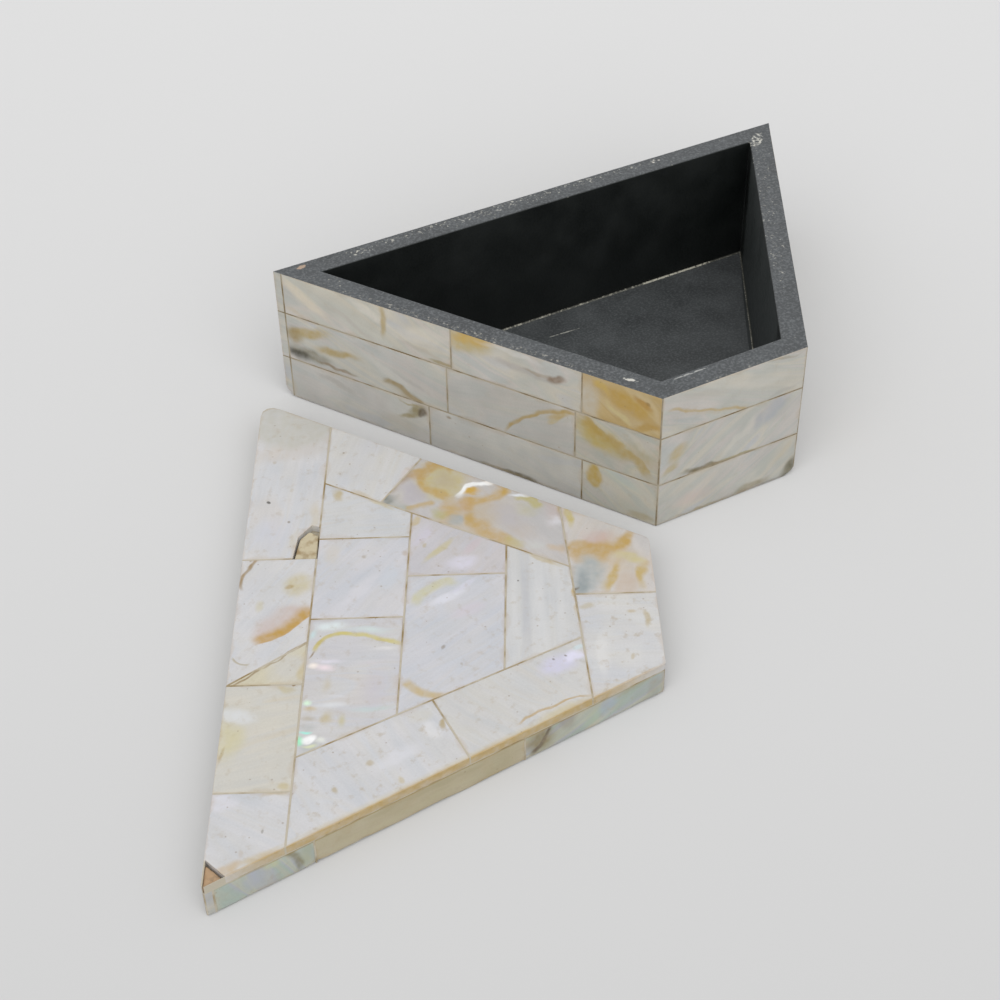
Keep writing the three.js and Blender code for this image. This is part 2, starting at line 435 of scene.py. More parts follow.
@dataclass(frozen=True)
class Nacre:
    """Mother-of-pearl sawn into tiles and polished: milky, with soft growth bands and a gentle lustre."""

    name: str
    light: str
    shade: str
    lustre: Stops
    gleam: float = 0.35
    turn: float | None = None
    specks: float = 0.25
    stain: float = 0.22
    edge: str = "b08d55"
    wobble: float = 1.0
    marks: tuple[Mark, ...] = ()

    def material(self) -> Material:
        """Makes the shell, which reads the tile's two UV maps and its distance from the tile's edge.

        Returns:
            The material.
        """
        paint = Paint(self.name)
        sheet = paint.add("UVMap", {}, uv_map=SHEET)
        growth = paint.add("UVMap", {}, uv_map=GROWTH)
        colour = self.marked(paint, sheet, self.body(paint, growth))
        colour = self.soiled(paint, sheet, self.speckled(paint, growth, colour))
        # The polish is a little duller in some places than in others.
        dull = paint.add("TexNoise", {0: growth, "Scale": 1 / 5, "Detail": 3.0}, **FLAT_NOISE)
        rough = paint.add("MapRange", {0: dull, 1: 0.3, 2: 0.7, 3: 0.28, 4: 0.44})
        grain = paint.add("TexNoise", {0: growth, "Scale": 1.2, "Detail": 5.0}, **FLAT_NOISE)
        bump = paint.add("Bump", {"Strength": 0.35, "Distance": 0.03 * MM, "Height": grain})
        feed: Feed = {"Base Color": colour, "Roughness": rough, "IOR": 1.55, "Normal": bump}
        coat: Feed = {"Coat Weight": 0.25, "Coat Roughness": 0.12}
        paint.add("OutputMaterial", {0: paint.add("BsdfPrincipled", feed | coat)})
        return paint.material

    def body(self, paint: Paint, growth: Socket) -> Socket:
        """Mixes the milky body with its clouds and growth bands, whose colours also paint the shell's
        shifting sheen.

        Args:
            paint: the material in the making.
            growth: millimetres along and across the growth lines.

        Returns:
            The colour.
        """
        cloud = paint.add("TexNoise", {0: growth, "Scale": 1 / 10, "Detail": 2.0}, **FLAT_NOISE)
        share = paint.add("MapRange", {0: cloud, 1: 0.35, 2: 0.65})
        body = paint.add("Mix", {0: share, 6: self.light, 7: self.shade}, 2, **COLOURS)
        # Growth bands about 6 mm wide and several times as long, whose pink, blue and cream tints also stand
        # in for a painted sheen of the shell's lustre.
        drawn = paint.add("VectorMath", {0: growth, 1: (1 / 32, 1 / 6.5, 1)}, operation="MULTIPLY")
        wave: Feed = {0: drawn, "Scale": 1.0, "Detail": 2.0, "Distortion": 0.6}
        band = paint.add("MapRange", {0: paint.add("TexNoise", wave, **FLAT_NOISE), 1: 0.28, 2: 0.72})
        bands = paint.add("ValToRGB", {0: band}, stops=self.lustre)
        glow = paint.add("Mix", {0: self.gleam, 6: body, 7: bands}, 2, **COLOURS)
        # Silky growth lines 0.9 mm apart, whose faint light and dark also paint a satin sheen, and a grain of
        # 0.45 mm.
        combed = paint.add("VectorMath", {0: growth, 1: (1 / 10, 1 / 0.9, 1)}, operation="MULTIPLY")
        lines = paint.add("TexNoise", {0: combed, "Scale": 1.0, "Detail": 3.0}, **FLAT_NOISE)
        silk = paint.add("MapRange", {0: lines, 1: 0.3, 2: 0.7, 3: 0.975, 4: 1.015})
        fine = paint.add("TexNoise", {0: growth, "Scale": 1 / 0.45, "Detail": 2.0}, **FLAT_NOISE)
        grain = paint.add("MapRange", {0: fine, 1: 0.3, 2: 0.7, 3: 0.975, 4: 1.02})
        both = paint.add("Math", {0: silk, 1: grain}, operation="MULTIPLY")
        return paint.add("Mix", {0: 1.0, 6: glow, 7: both}, 2, blend_type="MULTIPLY", **COLOURS)

    def marked(self, paint: Paint, sheet: Socket, colour: Socket) -> Socket:
        """Lays this tile's own bands, patches and painted highlights over the body, a little cloudy, as seen
        through shell.

        Args:
            paint: the material in the making.
            sheet: millimetres on the face's sheet.
            colour: the colour so far.

        Returns:
            The colour with the marks.
        """
        if not self.marks:
            return colour
        wander: Feed = {0: sheet, "Scale": 1 / 5.5, "Detail": 3.0, "Roughness": 0.4}
        drift = paint.add("TexNoise", wander, 1, **FLAT_NOISE)
        swing = paint.add("VectorMath", {0: drift, 1: (0.5, 0.5, 0.5)}, operation="SUBTRACT")
        reach = 2.6 * self.wobble
        bent = paint.add("VectorMath", {0: swing, 1: (reach, reach, 0), 2: sheet}, operation="MULTIPLY_ADD")
        haze = paint.add("TexNoise", {0: sheet, "Scale": 1 / 1.8, "Detail": 3.0}, **FLAT_NOISE)
        cloudy = paint.add("MapRange", {0: haze, 1: 0.3, 2: 0.7, 3: 0.7, 4: 1.0})
        for mark in self.marks:
            mask = mark.mask(paint, sheet if mark.square else bent)
            share = paint.add("Math", {0: mask, 1: cloudy}, operation="MULTIPLY")
            colour = paint.add("Mix", {0: share, 6: colour, 7: mark.colour}, 2, **COLOURS)
        return colour

    def speckled(self, paint: Paint, growth: Socket, colour: Socket) -> Socket:
        """Adds the pits and brown specks, 0.2 to 0.6 mm across, and faint smudges about 2 mm across.

        Args:
            paint: the material in the making.
            growth: millimetres along and across the growth lines.
            colour: the colour so far.

        Returns:
            The colour with the specks.
        """
        pits = paint.add("TexVoronoi", {0: growth, "Scale": 1 / 4}, voronoi_dimensions="2D")
        pick = paint.add("SeparateColor", {0: pits.node.outputs["Color"]})
        size = paint.add("MapRange", {0: pick, 1: 1 - self.specks, 2: 1.0, 3: 0.0005, 4: 0.08})
        near = paint.add("Math", {0: pits, 1: size}, operation="DIVIDE")
        dot = paint.add("MapRange", {0: near, 1: 0.3, 2: 1.0, 3: 0.5, 4: 0.0})
        soot: Feed = {0: growth, "Scale": 1 / 2.6, "Detail": 5.0, "Roughness": 0.6}
        smudge = paint.add("TexNoise", soot, **FLAT_NOISE)
        faint = paint.add("MapRange", {0: smudge, 1: 0.58, 2: 0.78, 4: self.specks * 1.2})
        dotted = paint.add("Mix", {0: dot, 6: colour, 7: "8a7356"}, 2, **COLOURS)
        return paint.add("Mix", {0: faint, 6: dotted, 7: "ab9877"}, 2, **COLOURS)

    def soiled(self, paint: Paint, sheet: Socket, colour: Socket) -> Socket:
        """Adds the brown stain that creeps in from the joints, here more and there less.

        Args:
            paint: the material in the making.
            sheet: millimetres on the face's sheet.
            colour: the colour so far.

        Returns:
            The colour with the stain.
        """
        edge = paint.add("Attribute", {}, out="Fac", attribute_name=EDGE)
        tide = paint.add("TexNoise", {0: sheet, "Scale": 1 / 6, "Detail": 4.0}, **FLAT_NOISE)
        reach = paint.add("MapRange", {0: tide, 1: 0.45, 2: 0.72, 3: 0.05, 4: 1.5})
        near = paint.add("Math", {0: edge, 1: reach}, operation="DIVIDE")
        creep = paint.add("MapRange", {0: near, 3: self.stain, 4: 0.0})
        return paint.add("Mix", {0: creep, 6: colour, 7: self.edge}, 2, **COLOURS)


@dataclass(frozen=True)
class Filler:
    """Brown resin and old glue rubbed into the joints: matt, darker where dirt sits in it."""

    name: str
    fresh: str
    dirty: str
    patch: float = 6.0

    def material(self) -> Material:
        """Makes the filler, patchy over a few millimetres so that the joints come and go in strength.

        Returns:
            The material.
        """
        paint = Paint(self.name)
        place = paint.add("TexCoord", {}, out="Object")
        dirt = paint.add("TexNoise", {0: place, "Scale": 1 / (self.patch * MM), "Detail": 5.0})
        dark = paint.add("MapRange", {0: dirt, 1: 0.48, 2: 0.66})
        colour = paint.add("Mix", {0: dark, 6: self.fresh, 7: self.dirty}, 2, **COLOURS)
        grit = paint.add("TexNoise", {0: place, "Scale": 1 / (0.3 * MM), "Detail": 3.0})
        bump = paint.add("Bump", {"Strength": 0.7, "Distance": 0.1 * MM, "Height": grit})
        feed: Feed = {"Base Color": colour, "Roughness": 0.7, "Normal": bump}
        paint.add("OutputMaterial", {0: paint.add("BsdfPrincipled", feed)})
        return paint.material


# Stops of the lustre bands: the shell's own tints, which also stand in for a painted iridescent sheen.
MILKY = ((0.0, "c6cad1"), (0.35, "d4d3d6"), (0.6, "d1cec9"), (0.8, "ced1d7"), (1.0, "d4cdc6"))
SMOKY = ((0.0, "aaafac"), (0.3, "c2b9b2"), (0.5, "b0b3aa"), (0.75, "c8c0ad"), (1.0, "b1b4b8"))
BUTTERY = ((0.0, "cbc7b6"), (0.4, "d3cebf"), (0.7, "c6c7c2"), (1.0, "cdc1a6"))
HONEYED = ((0.0, "bda579"), (0.35, "c6b795"), (0.6, "b39a66"), (1.0, "c2ac80"))
SEAWATER = ((0.0, "a3b1ad"), (0.3, "c0c0ac"), (0.5, "aeb0bd"), (0.75, "a3b5aa"), (1.0, "c0bca6"))

# Polished shell. Its milky body over bands of lustre looks deep and silky, as thin layers of nacre do.
WHITE = Nacre("mother_of_pearl_milky_white", "d3d2d3", "cacbce", MILKY)
GREY = Nacre("mother_of_pearl_warm_grey", "c3c1bc", "b6b5b0", SMOKY, gleam=0.5, specks=0.12)
CREAM = Nacre("mother_of_pearl_cream", "d1cdc5", "cac8c3", BUTTERY)
AMBER = Nacre("mother_of_pearl_amber_mottled", "c6b28a", "b5a88c", HONEYED, gleam=0.5)
GREEN = Nacre("mother_of_pearl_sea_green", "b7bbb2", "a9afa8", SEAWATER, gleam=0.6)

SLOT_FINISHES = {
    "shell_white": WHITE,
    "shell_grey": GREY,
    "shell_cream": CREAM,
    "shell_amber": AMBER,
    "shell_green": GREEN,
}

# The filler stains the top arris of the lid's left edge strips.
BAND_ARRIS = Spot("8f7e46", 54, 2, 60, 0.5, 0, 0.8, 0.6, True)

# It stains the lid's left arris too, strongly at the arris and faintly further in.
LID_ARRIS = (
    Spot("cbb986", 27.5, 46.25, 60, 1.7, 59.26, 0.45, 0.9, True),
    Spot("b89950", 26.7, 46.7, 60, 1.5, 59.26, 0.85, 0.45, True),
)

# A brown crack that runs across two border tiles.
LID_CRACK = (
    Arc("8d734a", ((51.9, 0.8), (54.2, 4.6), (57.2, 7.6)), 0.5, 0.4, 0.9),
    Arc("9a8357", ((56.8, 7.3), (61, 12.2), (65, 16.6)), 0.4, 0.3, 0.75),
)


def shell(base: Nacre, *marks: Mark, **changes: object) -> Nacre:
    """One tile's own finish: a base with the tile's marks and with some of its fields changed."""
    return replace(base, marks=marks, **changes)


TILE_FINISHES = {
    # The lid's border.
    "lid_top_back_1": shell(
        WHITE, Spot("dddce6", 20.5, 2, 3, 5, 10, 0.6), Spot("bfb4a8", 7.6, 6.4, 1.4, 0.8, 0, 0.6),
        Spot("92908a", 13.2, 11, 0.7, 0.45, 0, 0.8, 0.5), Spot("c2ab78", 7, 10, 1.6, 5.5, -25, 0.5),
        Spot("bba776", 22.6, 12.5, 0.9, 3.2, 0, 0.6), Spot("c3a36c", 4.6, 5, 1.8, 3, -30, 0.6), *LID_ARRIS,
        turn=-60,
    ),
    # The pale blue-white spot at this tile's right end is a painted highlight.
    "lid_top_back_2": shell(
        CREAM, Spot("cdc490", 37, 2, 7.5, 4, 0, 0.6), Spot("dcdfe3", 43.5, 3.2, 2.4, 5.5, 15, 0.7),
        Spot("c1b07a", 24.4, 14, 1.8, 1.6, 20, 0.75), Spot("b09d6c", 33, 0.8, 3, 0.5, 0, 0.6),
        Spot("c2b588", 50.6, 12.6, 1.3, 3, 20, 0.6), Spot("836840", 51.9, 14.2, 0.8, 0.6, 0, 0.9, 0.5),
        turn=75,
    ),
    "lid_top_back_3": shell(
        CREAM, Spot("c2ad6c", 55.5, 15.6, 3.6, 1.4, 10, 0.5),
        *LID_CRACK, light="cec6ab", turn=40,
    ),
    "lid_top_back_4": shell(
        WHITE, Arc("c5ab9e", ((64.3, 6.4), (68.2, 12.4), (75.5, 17.4)), 9.5, 0.5, 0.6),
        Arc("bd9436", ((64.3, 6.4), (68.2, 12.4), (75.5, 17.4)), 3.6, 0.5, 0.95),
        Spot("c6b77e", 82.5, 13.2, 4.8, 4.2, 30, 0.65), Spot("a88d52", 81.9, 11.4, 0.9, 1.5, -10, 0.8),
        Spot("c9be8d", 76, 5, 2.4, 1.4, 0, 0.45),
        Arc("957a4d", ((81, 0.7), (87.2, 1), (91.2, 3.4)), 0.8, 0.4, 0.9),
        Arc("a49467", ((60.4, 0.2), (58.6, 2), (58.6, 4.4)), 0.35, 0.35, 0.65),
        *LID_CRACK, turn=30, wobble=0.6,
    ),
    "lid_top_back_5": shell(
        WHITE, Spot("cdcdd8", 100, 6, 9, 6, 0, 0.4), Spot("c9c1b8", 130, 8, 5, 14, -12, 0.55),
        Spot("bfbdb3", 143.5, 8, 14, 14, -12, 0.8, 0.3), Spot("54524c", 110.8, 4.4, 0.75, 0.45, 0, 0.95, 0.5),
        Spot("8d8273", 103.6, 9.8, 0.6, 0.45, 0, 0.8, 0.5), Spot("b9ae9c", 126, 4.6, 0.9, 0.6, 0, 0.6),
        Spot("c0b7a6", 115.6, 9.8, 0.9, 0.8, 0, 0.5), Spot("cdbfa0", 106, 15.6, 7, 1.6, 5, 0.45),
        Spot("c9bfa8", 97, 11.4, 5, 1.2, 5, 0.5), shade="c9cacd", turn=5,
    ),
    "lid_top_left_1": shell(
        WHITE, Spot("dcdce2", 31, 36, 8, 3, 55, 0.6), Spot("e4e3e4", 38, 43, 3.5, 2.4, -30, 0.6),
        Spot("cfc9b4", 42, 41, 3.4, 3, 60, 0.4), Spot("b09d6f", 22.7, 24, 1, 1, 0, 0.6),
        Spot("b39f70", 29.6, 30.9, 1.1, 0.8, 0, 0.65), Spot("c1ae7b", 25.2, 37.2, 1, 0.8, 0, 0.5),
        Spot("ad9557", 39.6, 45.2, 1.8, 0.7, 10, 0.8), *LID_ARRIS, turn=-35, specks=0.4,
    ),
    # The pale lilac and white-cyan spots at this tile's lower right are a painted sheen of the shell's
    # lustre.
    "lid_top_left_2": shell(
        WHITE, Spot("c9b880", 42.6, 70, 2.2, 7, -22, 0.45),
        Arc("b99753", ((38.4, 60), (44, 67.5), (46.6, 76.5)), 0.5, 0.4, 0.75),
        Spot("d2d0e8", 55.5, 70, 4, 6.5, -25, 0.8), Spot("e4e2f6", 57.8, 73.2, 2.2, 3.6, -28, 0.9),
        Spot("cfe3ea", 60.4, 74.6, 1, 1.6, -28, 0.7), Spot("6f665e", 57.2, 69, 0.5, 0.4, 0, 0.8),
        Spot("74695d", 58.2, 71.4, 0.4, 0.5, 0, 0.8), *LID_ARRIS, light="cfcdc8", shade="c8c7c4", turn=-50,
        specks=0.3,
    ),
    "lid_top_right_1": shell(
        WHITE, Spot("8c7a63", 129, 21, 0.5, 0.35, 0, 0.7), Spot("c5ba9e", 113, 26, 3.6, 1.6, -50, 0.45),
        Spot("d3c3b8", 121, 37, 4, 1.6, 35, 0.5), light="d2d1ce", turn=15,
    ),
    # The near-white spots and the white arc on this tile are painted highlights of the shell's glints.
    "lid_top_right_2": shell(
        WHITE, Spot("c4ae88", 104, 52, 14, 10, 50, 0.5, 0.9),
        Spot("c4b782", 117.5, 45, 9.6, 8.4, 20, 0.9, 0.6),
        Spot("b7ab95", 117.5, 45.5, 5.4, 4.6, 20, 0.7, 0.9),
        Spot("c29f50", 106.5, 47, 7.6, 3.2, 10, 0.75, 0.9),
        Arc("be9947", ((111.4, 45.6), (114.2, 41.6), (120.6, 39.6)), 2.4, 1.2, 0.75),
        Arc("bb9546", ((120.4, 39), (123.4, 43.2), (121.6, 49)), 2.6, 1.2, 0.75),
        Spot("b99250", 119.6, 38, 2.4, 3.4, 20, 0.7, 0.9),
        Spot("b8b3b9", 113.2, 38.6, 5.8, 3.8, -22, 0.9, 0.6),
        Spot("a4927c", 117.2, 35.2, 8.8, 1.9, 32, 0.7, 0.9),
        Spot("a7aba2", 108.4, 36.2, 2.6, 4.6, 30, 0.8, 0.9),
        Spot("767c74", 110.6, 32.6, 3.4, 2.2, 30, 0.9, 0.9),
        Arc("bf9f56", ((107.8, 36.8), (107.4, 40.4), (109.6, 43.6)), 1.8, 1.4, 0.7),
        Spot("b3ae6f", 105.2, 44.6, 3, 3, 10, 0.75, 0.9), Spot("a5acae", 102.6, 48.2, 3.2, 3, 30, 0.9, 0.7),
        Spot("c29e6a", 108.2, 50.6, 3.4, 2.6, 10, 0.8, 0.9), Spot("b89d64", 104, 51.8, 5, 2.2, -12, 0.7, 0.9),
        Arc("c09d50", ((93.6, 62), (98.2, 54.6), (104.8, 50.6)), 3.8, 2.2, 0.72),
        Arc("c39e48", ((108.6, 50.4), (109.8, 56.4), (114.6, 61.4)), 3.2, 2.2, 0.72),
        Spot("c39f46", 113.4, 60.6, 2.6, 1.9, 10, 0.8, 0.9),
        Spot("bdb9bc", 103.8, 60.6, 6.6, 5, -30, 0.85, 0.8), Spot("c0b5ac", 98.6, 63, 3.6, 5, 20, 0.55, 0.9),
        Spot("c2bea0", 105.6, 65, 4, 4.6, 10, 0.6, 0.9),
        Arc("bcb15a", ((110.6, 62.6), (110.2, 67), (106.4, 68.8)), 2.4, 0.9, 0.75),
        Spot("bfb172", 94.6, 61.6, 3.4, 2.6, -40, 0.8, 0.9),
        Spot("cacbc8", 93.6, 66.4, 3, 3.6, -20, 0.8, 0.8), Spot("c9ae88", 92, 71, 3.6, 2.2, -40, 0.7, 0.9),
        Spot("c6b2ae", 104, 70.6, 6, 2.4, 0, 0.5, 0.9), Spot("dcdce2", 101.6, 71.2, 3, 2.8, 0, 0.85, 0.9),
        Spot("c3a960", 107, 72.4, 3.2, 1.6, 0, 0.65, 0.9), Spot("e9eef5", 111.4, 64.4, 1.1, 3.4, 10, 0.95),
        Arc("fdffff", ((112.2, 49.2), (115.6, 52.6), (116.6, 58)), 2.2, 1, 1),
        Spot("ffffff", 116.2, 56.6, 1.3, 2, 0, 1), Spot("cfa320", 112.8, 52.4, 1.5, 2.5, -25, 1, 0.6),
        light="bfbab7", shade="b6b1ae", turn=-35, specks=0.1, wobble=1.5,
    ),
    "lid_top_front_1": shell(
        WHITE, Spot("e0dfde", 58, 79.5, 9, 1.8, 2, 0.6), Spot("b29b5d", 68.5, 89.6, 3.4, 1, -8, 0.65),
        Spot("b8a068", 71, 86.5, 0.9, 1.4, 0, 0.5), Spot("b49e67", 57.4, 85.6, 0.9, 0.8, 0, 0.55),
        Spot("b9a770", 73, 77, 1.2, 2.4, 0, 0.5), *LID_ARRIS, light="d6d5d2", turn=90, specks=0.4,
    ),
    "lid_top_front_2": shell(
        WHITE, Spot("c6ad7e", 89, 84, 10, 9, 0, 0.5, 0.9), Spot("a9b0b1", 83, 77.8, 9, 5, 8, 0.95, 0.6),
        Spot("8f989b", 80, 76.4, 5.6, 2.6, 4, 0.8), Spot("c6b5a4", 80.4, 86.4, 5.6, 4, 15, 0.8),
        Spot("c2a760", 82, 83, 7, 1.6, 25, 0.85), Spot("c2a75c", 83.2, 90, 6.4, 1.9, 8, 0.85),
        Spot("cdc286", 88.4, 87.6, 2, 4.4, 10, 0.65), Spot("c9aea5", 95.6, 81, 4.2, 6, 10, 0.75, 0.9),
        Arc("bd9844", ((91, 73.4), (93.6, 79), (89.6, 85.4)), 6.4, 2.2, 0.78),
        Spot("c09d4c", 93.6, 86.6, 6.4, 2, 28, 0.9), Spot("d3cfcd", 92.6, 89.6, 3.4, 1.8, 0, 0.7),
        Spot("c6b666", 103, 75, 5.2, 1.9, -3, 0.8), Spot("6b5a40", 78.8, 74.8, 1.3, 0.9, 20, 0.95),
        light="cfc8c2", shade="c7c1bb", turn=25, specks=0.12, wobble=1.4,
    ),
    # The lid's field.
    # The near-white, green, cyan and pink-white spots at this tile's top, and the pale streaks that run down
    # from them, are painted highlights of the shell's glints.
    "lid_top_field_a_1": shell(
        WHITE, Spot("aeb2b0", 34, 18.5, 4.4, 3.6, 20, 0.8, 0.95),
        Spot("b5b8b5", 39.8, 17.6, 1.6, 2.8, 0, 0.7, 0.95), Spot("c1bcae", 37, 26, 2.4, 4.6, 0, 0.35, 0.95),
        Spot("c0b080", 42.4, 21.6, 2.4, 2, 10, 0.75, 0.95),
        Spot("c3b983", 41.6, 24.6, 2.2, 1.4, 10, 0.7, 0.95), Spot("b3a78f", 42.4, 18, 1.2, 2.6, 0, 0.7, 0.95),
        Spot("cbb584", 44.9, 17.8, 1, 2.2, 0, 0.75, 0.95), Spot("dfe1e4", 45.6, 22.5, 1.3, 5, 0, 0.75, 0.95),
        Spot("c2d4d2", 44.4, 31, 1.1, 6.5, -3, 0.75, 0.95), Spot("d9d9de", 48.2, 24, 0.9, 5, 0, 0.5, 0.95),
        Spot("c3b9a2", 51.6, 21, 4, 1.3, 0, 0.6, 0.95), Spot("c3bfcc", 50, 31, 9, 4.4, 0, 0.5, 0.95),
        Spot("e0dde8", 58.4, 21, 1.1, 5, -5, 0.85, 0.95), Spot("d2cdd2", 57.6, 30, 0.9, 5, 0, 0.6, 0.95),
        Spot("e4e2e3", 61.8, 33, 0.8, 3.8, -8, 0.7, 0.95), Spot("e1edee", 69.2, 21, 1.9, 5.2, -4, 0.9, 0.95),
        Spot("d0dddb", 67.6, 29.5, 1.5, 7, 10, 0.85, 0.95),
        Spot("c5e3e6", 66.6, 17.4, 2.4, 1.2, 25, 0.7, 0.95),
        Arc("c7b86a", ((61, 17.2), (65.9, 20.2), (67.1, 24.6)), 1.4, 0.5, 0.95),
        Arc("cdc176", ((67.3, 21.6), (65.7, 29.6), (62.9, 37)), 0.9, 0.9, 0.95),
        Spot("8e764e", 60.4, 17.2, 1.9, 0.5, 22, 0.85, 0.95),
        Spot("e6ebb8", 34.7, 18.4, 0.8, 2.4, 0, 0.8, 0.95), Spot("93f5c0", 36.2, 16, 1.9, 1.1, 0, 1, 0.95),
        Spot("9ff5e4", 38.4, 17, 0.6, 1.9, 0, 0.9, 0.95), Spot("eceee4", 35.9, 20.6, 1.2, 2, 10, 0.8, 0.95),
        Spot("ffffff", 36.6, 17.8, 1.5, 2.1, -8, 1, 0.5), Spot("dcf8dc", 46.6, 17, 1.2, 1.5, 0, 1, 0.95),
        Spot("f6e4ea", 56.4, 20.4, 1.5, 3, 0, 0.9, 0.95), Spot("fff4ea", 56.9, 18, 1.2, 1.6, 0, 1, 0.95),
        light="cccbcc", shade="c5c3c7", turn=88, gleam=0.4, wobble=0.7,
    ),
    "lid_top_field_a_2": shell(
        WHITE, Spot("d9d8de", 80, 27, 10, 2, 38, 0.55), Spot("d0c8bb", 92.5, 20.5, 5, 3, 0, 0.5),
        Spot("c8d0da", 84, 33.5, 6, 2.6, 10, 0.5), Spot("a79a86", 90.8, 27.6, 1, 0.6, 0, 0.6),
        Spot("b8a99a", 92, 36.6, 1.4, 0.7, 0, 0.6), light="cfced3", shade="c6c8cf", turn=35,
    ),
    "lid_top_field_a_3": shell(
        WHITE, Spot("b9a56e", 113, 20.6, 3.2, 1.7, -15, 0.75), Spot("c6b681", 109.8, 30.6, 1, 4.8, 30, 0.65),
        light="cdcecf", shade="c6c8ca", turn=80,
    ),
    "lid_top_field_b_1": shell(
        WHITE, Arc("c3a96a", ((52.5, 36.8), (48.2, 40.4), (47, 45.2)), 2, 0.9, 0.75),
        Spot("c2ae76", 47.6, 46.6, 1, 1.8, -20, 0.6),
        Arc("c9c387", ((75, 38.4), (80.8, 42), (83.2, 49)), 3, 1.2, 0.6),
        Spot("dfe0ea", 76.8, 46, 1.6, 7, -34, 0.8), Spot("dadaea", 80.6, 50, 1, 5, -34, 0.6),
        Spot("d4c9d3", 73, 51, 2.6, 6, -30, 0.5), Spot("8f8271", 61.6, 45.6, 1, 0.6, 10, 0.7),
        Spot("a59882", 56.4, 49.6, 0.7, 0.5, 0, 0.5), light="ccccd2", shade="c4c7cf", turn=50, wobble=0.8,
    ),
    "lid_top_field_b_2": shell(
        WHITE, Spot("c6bb88", 92.6, 44.6, 7, 1.2, 42, 0.75), Spot("c3ae74", 103, 39.2, 2.6, 1.5, 20, 0.75),
        Spot("cfcbda", 97.4, 40.6, 5.4, 2, 32, 0.7), Spot("dcdaea", 88.6, 50, 3, 5, -20, 0.7),
        Spot("cdbbc4", 94, 52, 5, 1.6, 42, 0.5), Spot("b8a877", 94.4, 41.4, 0.9, 0.6, 20, 0.6),
        Spot("a0907a", 95, 32.8, 0.6, 0.4, 0, 0.6), light="c7c2c7", shade="bfbbbf", turn=42, wobble=0.8,
    ),
    "lid_top_field_c_1": shell(
        WHITE, Spot("dadadb", 75, 61.2, 24, 1, 0.6, 0.5, 0.9, True),
        Spot("b7b8be", 75, 63.6, 24, 1.5, 0.6, 0.6, 0.9, True),
        Spot("dcdcdd", 75, 66.6, 24, 2, 0.6, 0.5, 0.9, True),
        Spot("d8d8d8", 75, 71.4, 24, 1.6, 0.6, 0.5, 0.9, True), Spot("bfa35f", 78.5, 74.8, 10, 0.8, 0, 0.75),
        Spot("bfab76", 88.6, 68, 0.9, 6, 32, 0.6), Spot("5e5a52", 81.8, 62.6, 0.5, 0.35, 0, 0.8),
        light="d0d0cf", shade="c9cacb", turn=2, gleam=0.2, specks=0.3,
    ),
    # The strips of the lid's left edge.
    "lid_edge_left_1": shell(
        GREEN, Spot("aeb2bf", 10, 4, 2.4, 4.4, 15, 0.6), Spot("c3c59f", 14.5, 2.8, 2.6, 1.4, 0, 0.6),
        Spot("a9ad90", 21.8, 5, 2.2, 4.4, 0, 0.6),
        Arc("7d7556", ((17.6, 0.4), (19, 4.2), (20.8, 8.9)), 1.6, 1, 0.8), BAND_ARRIS, light="b8bfb6",
        shade="aeb3ac", turn=70,
    ),
    "lid_edge_left_2": shell(
        CREAM, Spot("aa9f80", 50, 3.2, 26, 1.2, 1, 0.5), Spot("bdb596", 45, 6.6, 28, 1.4, -1, 0.5),
        BAND_ARRIS, light="bab29a", shade="b0a88c", lustre=HONEYED, gleam=0.15, turn=4,
    ),
    "lid_edge_left_3": shell(
        GREEN, Spot("8a7a4c", 76, 4.5, 5, 6, 0, 0.9, 0.8),
        Arc("5f4a34", ((73.6, 8.4), (76.6, 5.4), (79, 1.6)), 0.9, 0.9, 0.85),
        Spot("948a80", 83, 3, 3.5, 3.6, 0, 0.6), Spot("a6b4c2", 92.6, 4.6, 4, 3, -20, 0.8),
        Spot("b1bfa4", 89, 5.4, 3, 2.4, -30, 0.6), Spot("a5a184", 99, 2.6, 6, 1.2, -6, 0.6),
        Spot("9a978a", 105, 5.5, 3, 4, 0, 0.5), BAND_ARRIS, light="b9beb8", shade="a8ab9f", turn=-25,
    ),
    # The box's left side.
    "box_left_top_1": shell(
        GREY, Spot("d8cdb6", 9, 5, 11, 2.4, 26, 0.7), Spot("b1aaa2", 22, 7.4, 11, 1, 24, 0.55),
        Spot("d9d4c8", 28, 3, 9, 2, 20, 0.6), Spot("d5cfc2", 42, 5, 12, 3, -10, 0.6),
        Spot("b3a797", 44, 9, 8, 1, 10, 0.5), Spot("a99257", 32.2, 4.4, 1.4, 6.4, -2, 0.8),
        Spot("8f7f52", 49, 10.9, 4.4, 0.8, -8, 0.8), Spot("c2b49c", 5, 10.4, 5, 1.2, 8, 0.5), light="c9c5bb",
        shade="bcb8ae", turn=20,
    ),
    "box_left_top_2": shell(
        GREY, Spot("b8a364", 56, 2.2, 9.6, 4.6, -14, 0.75), Spot("c39f40", 57, 0.8, 7.6, 2.6, -6, 0.8),
        Spot("a7a29e", 72, 5, 13, 1.5, 3, 0.7), Spot("94866f", 76, 4.4, 6, 0.8, -2, 0.6),
        Spot("cfccc8", 68, 1, 12, 0.9, 2, 0.6), Spot("755a3e", 80.6, 4.6, 3.6, 1.3, -14, 0.85), turn=8,
    ),
    "box_left_top_3": shell(
        AMBER, Spot("bcb6a9", 88, 7, 5, 9, -14, 0.95), Spot("b2903a", 99.6, 4.6, 8.6, 4, 25, 0.85),
        Spot("a87e27", 103, 3, 4, 1.6, 35, 0.85), Spot("a88530", 103.6, 9.6, 5.4, 1.6, -20, 0.75),
        Spot("c4b785", 96.6, 8.4, 5.6, 1, 42, 0.7), Spot("c0a350", 92, 2.4, 3.6, 1.6, 30, 0.75),
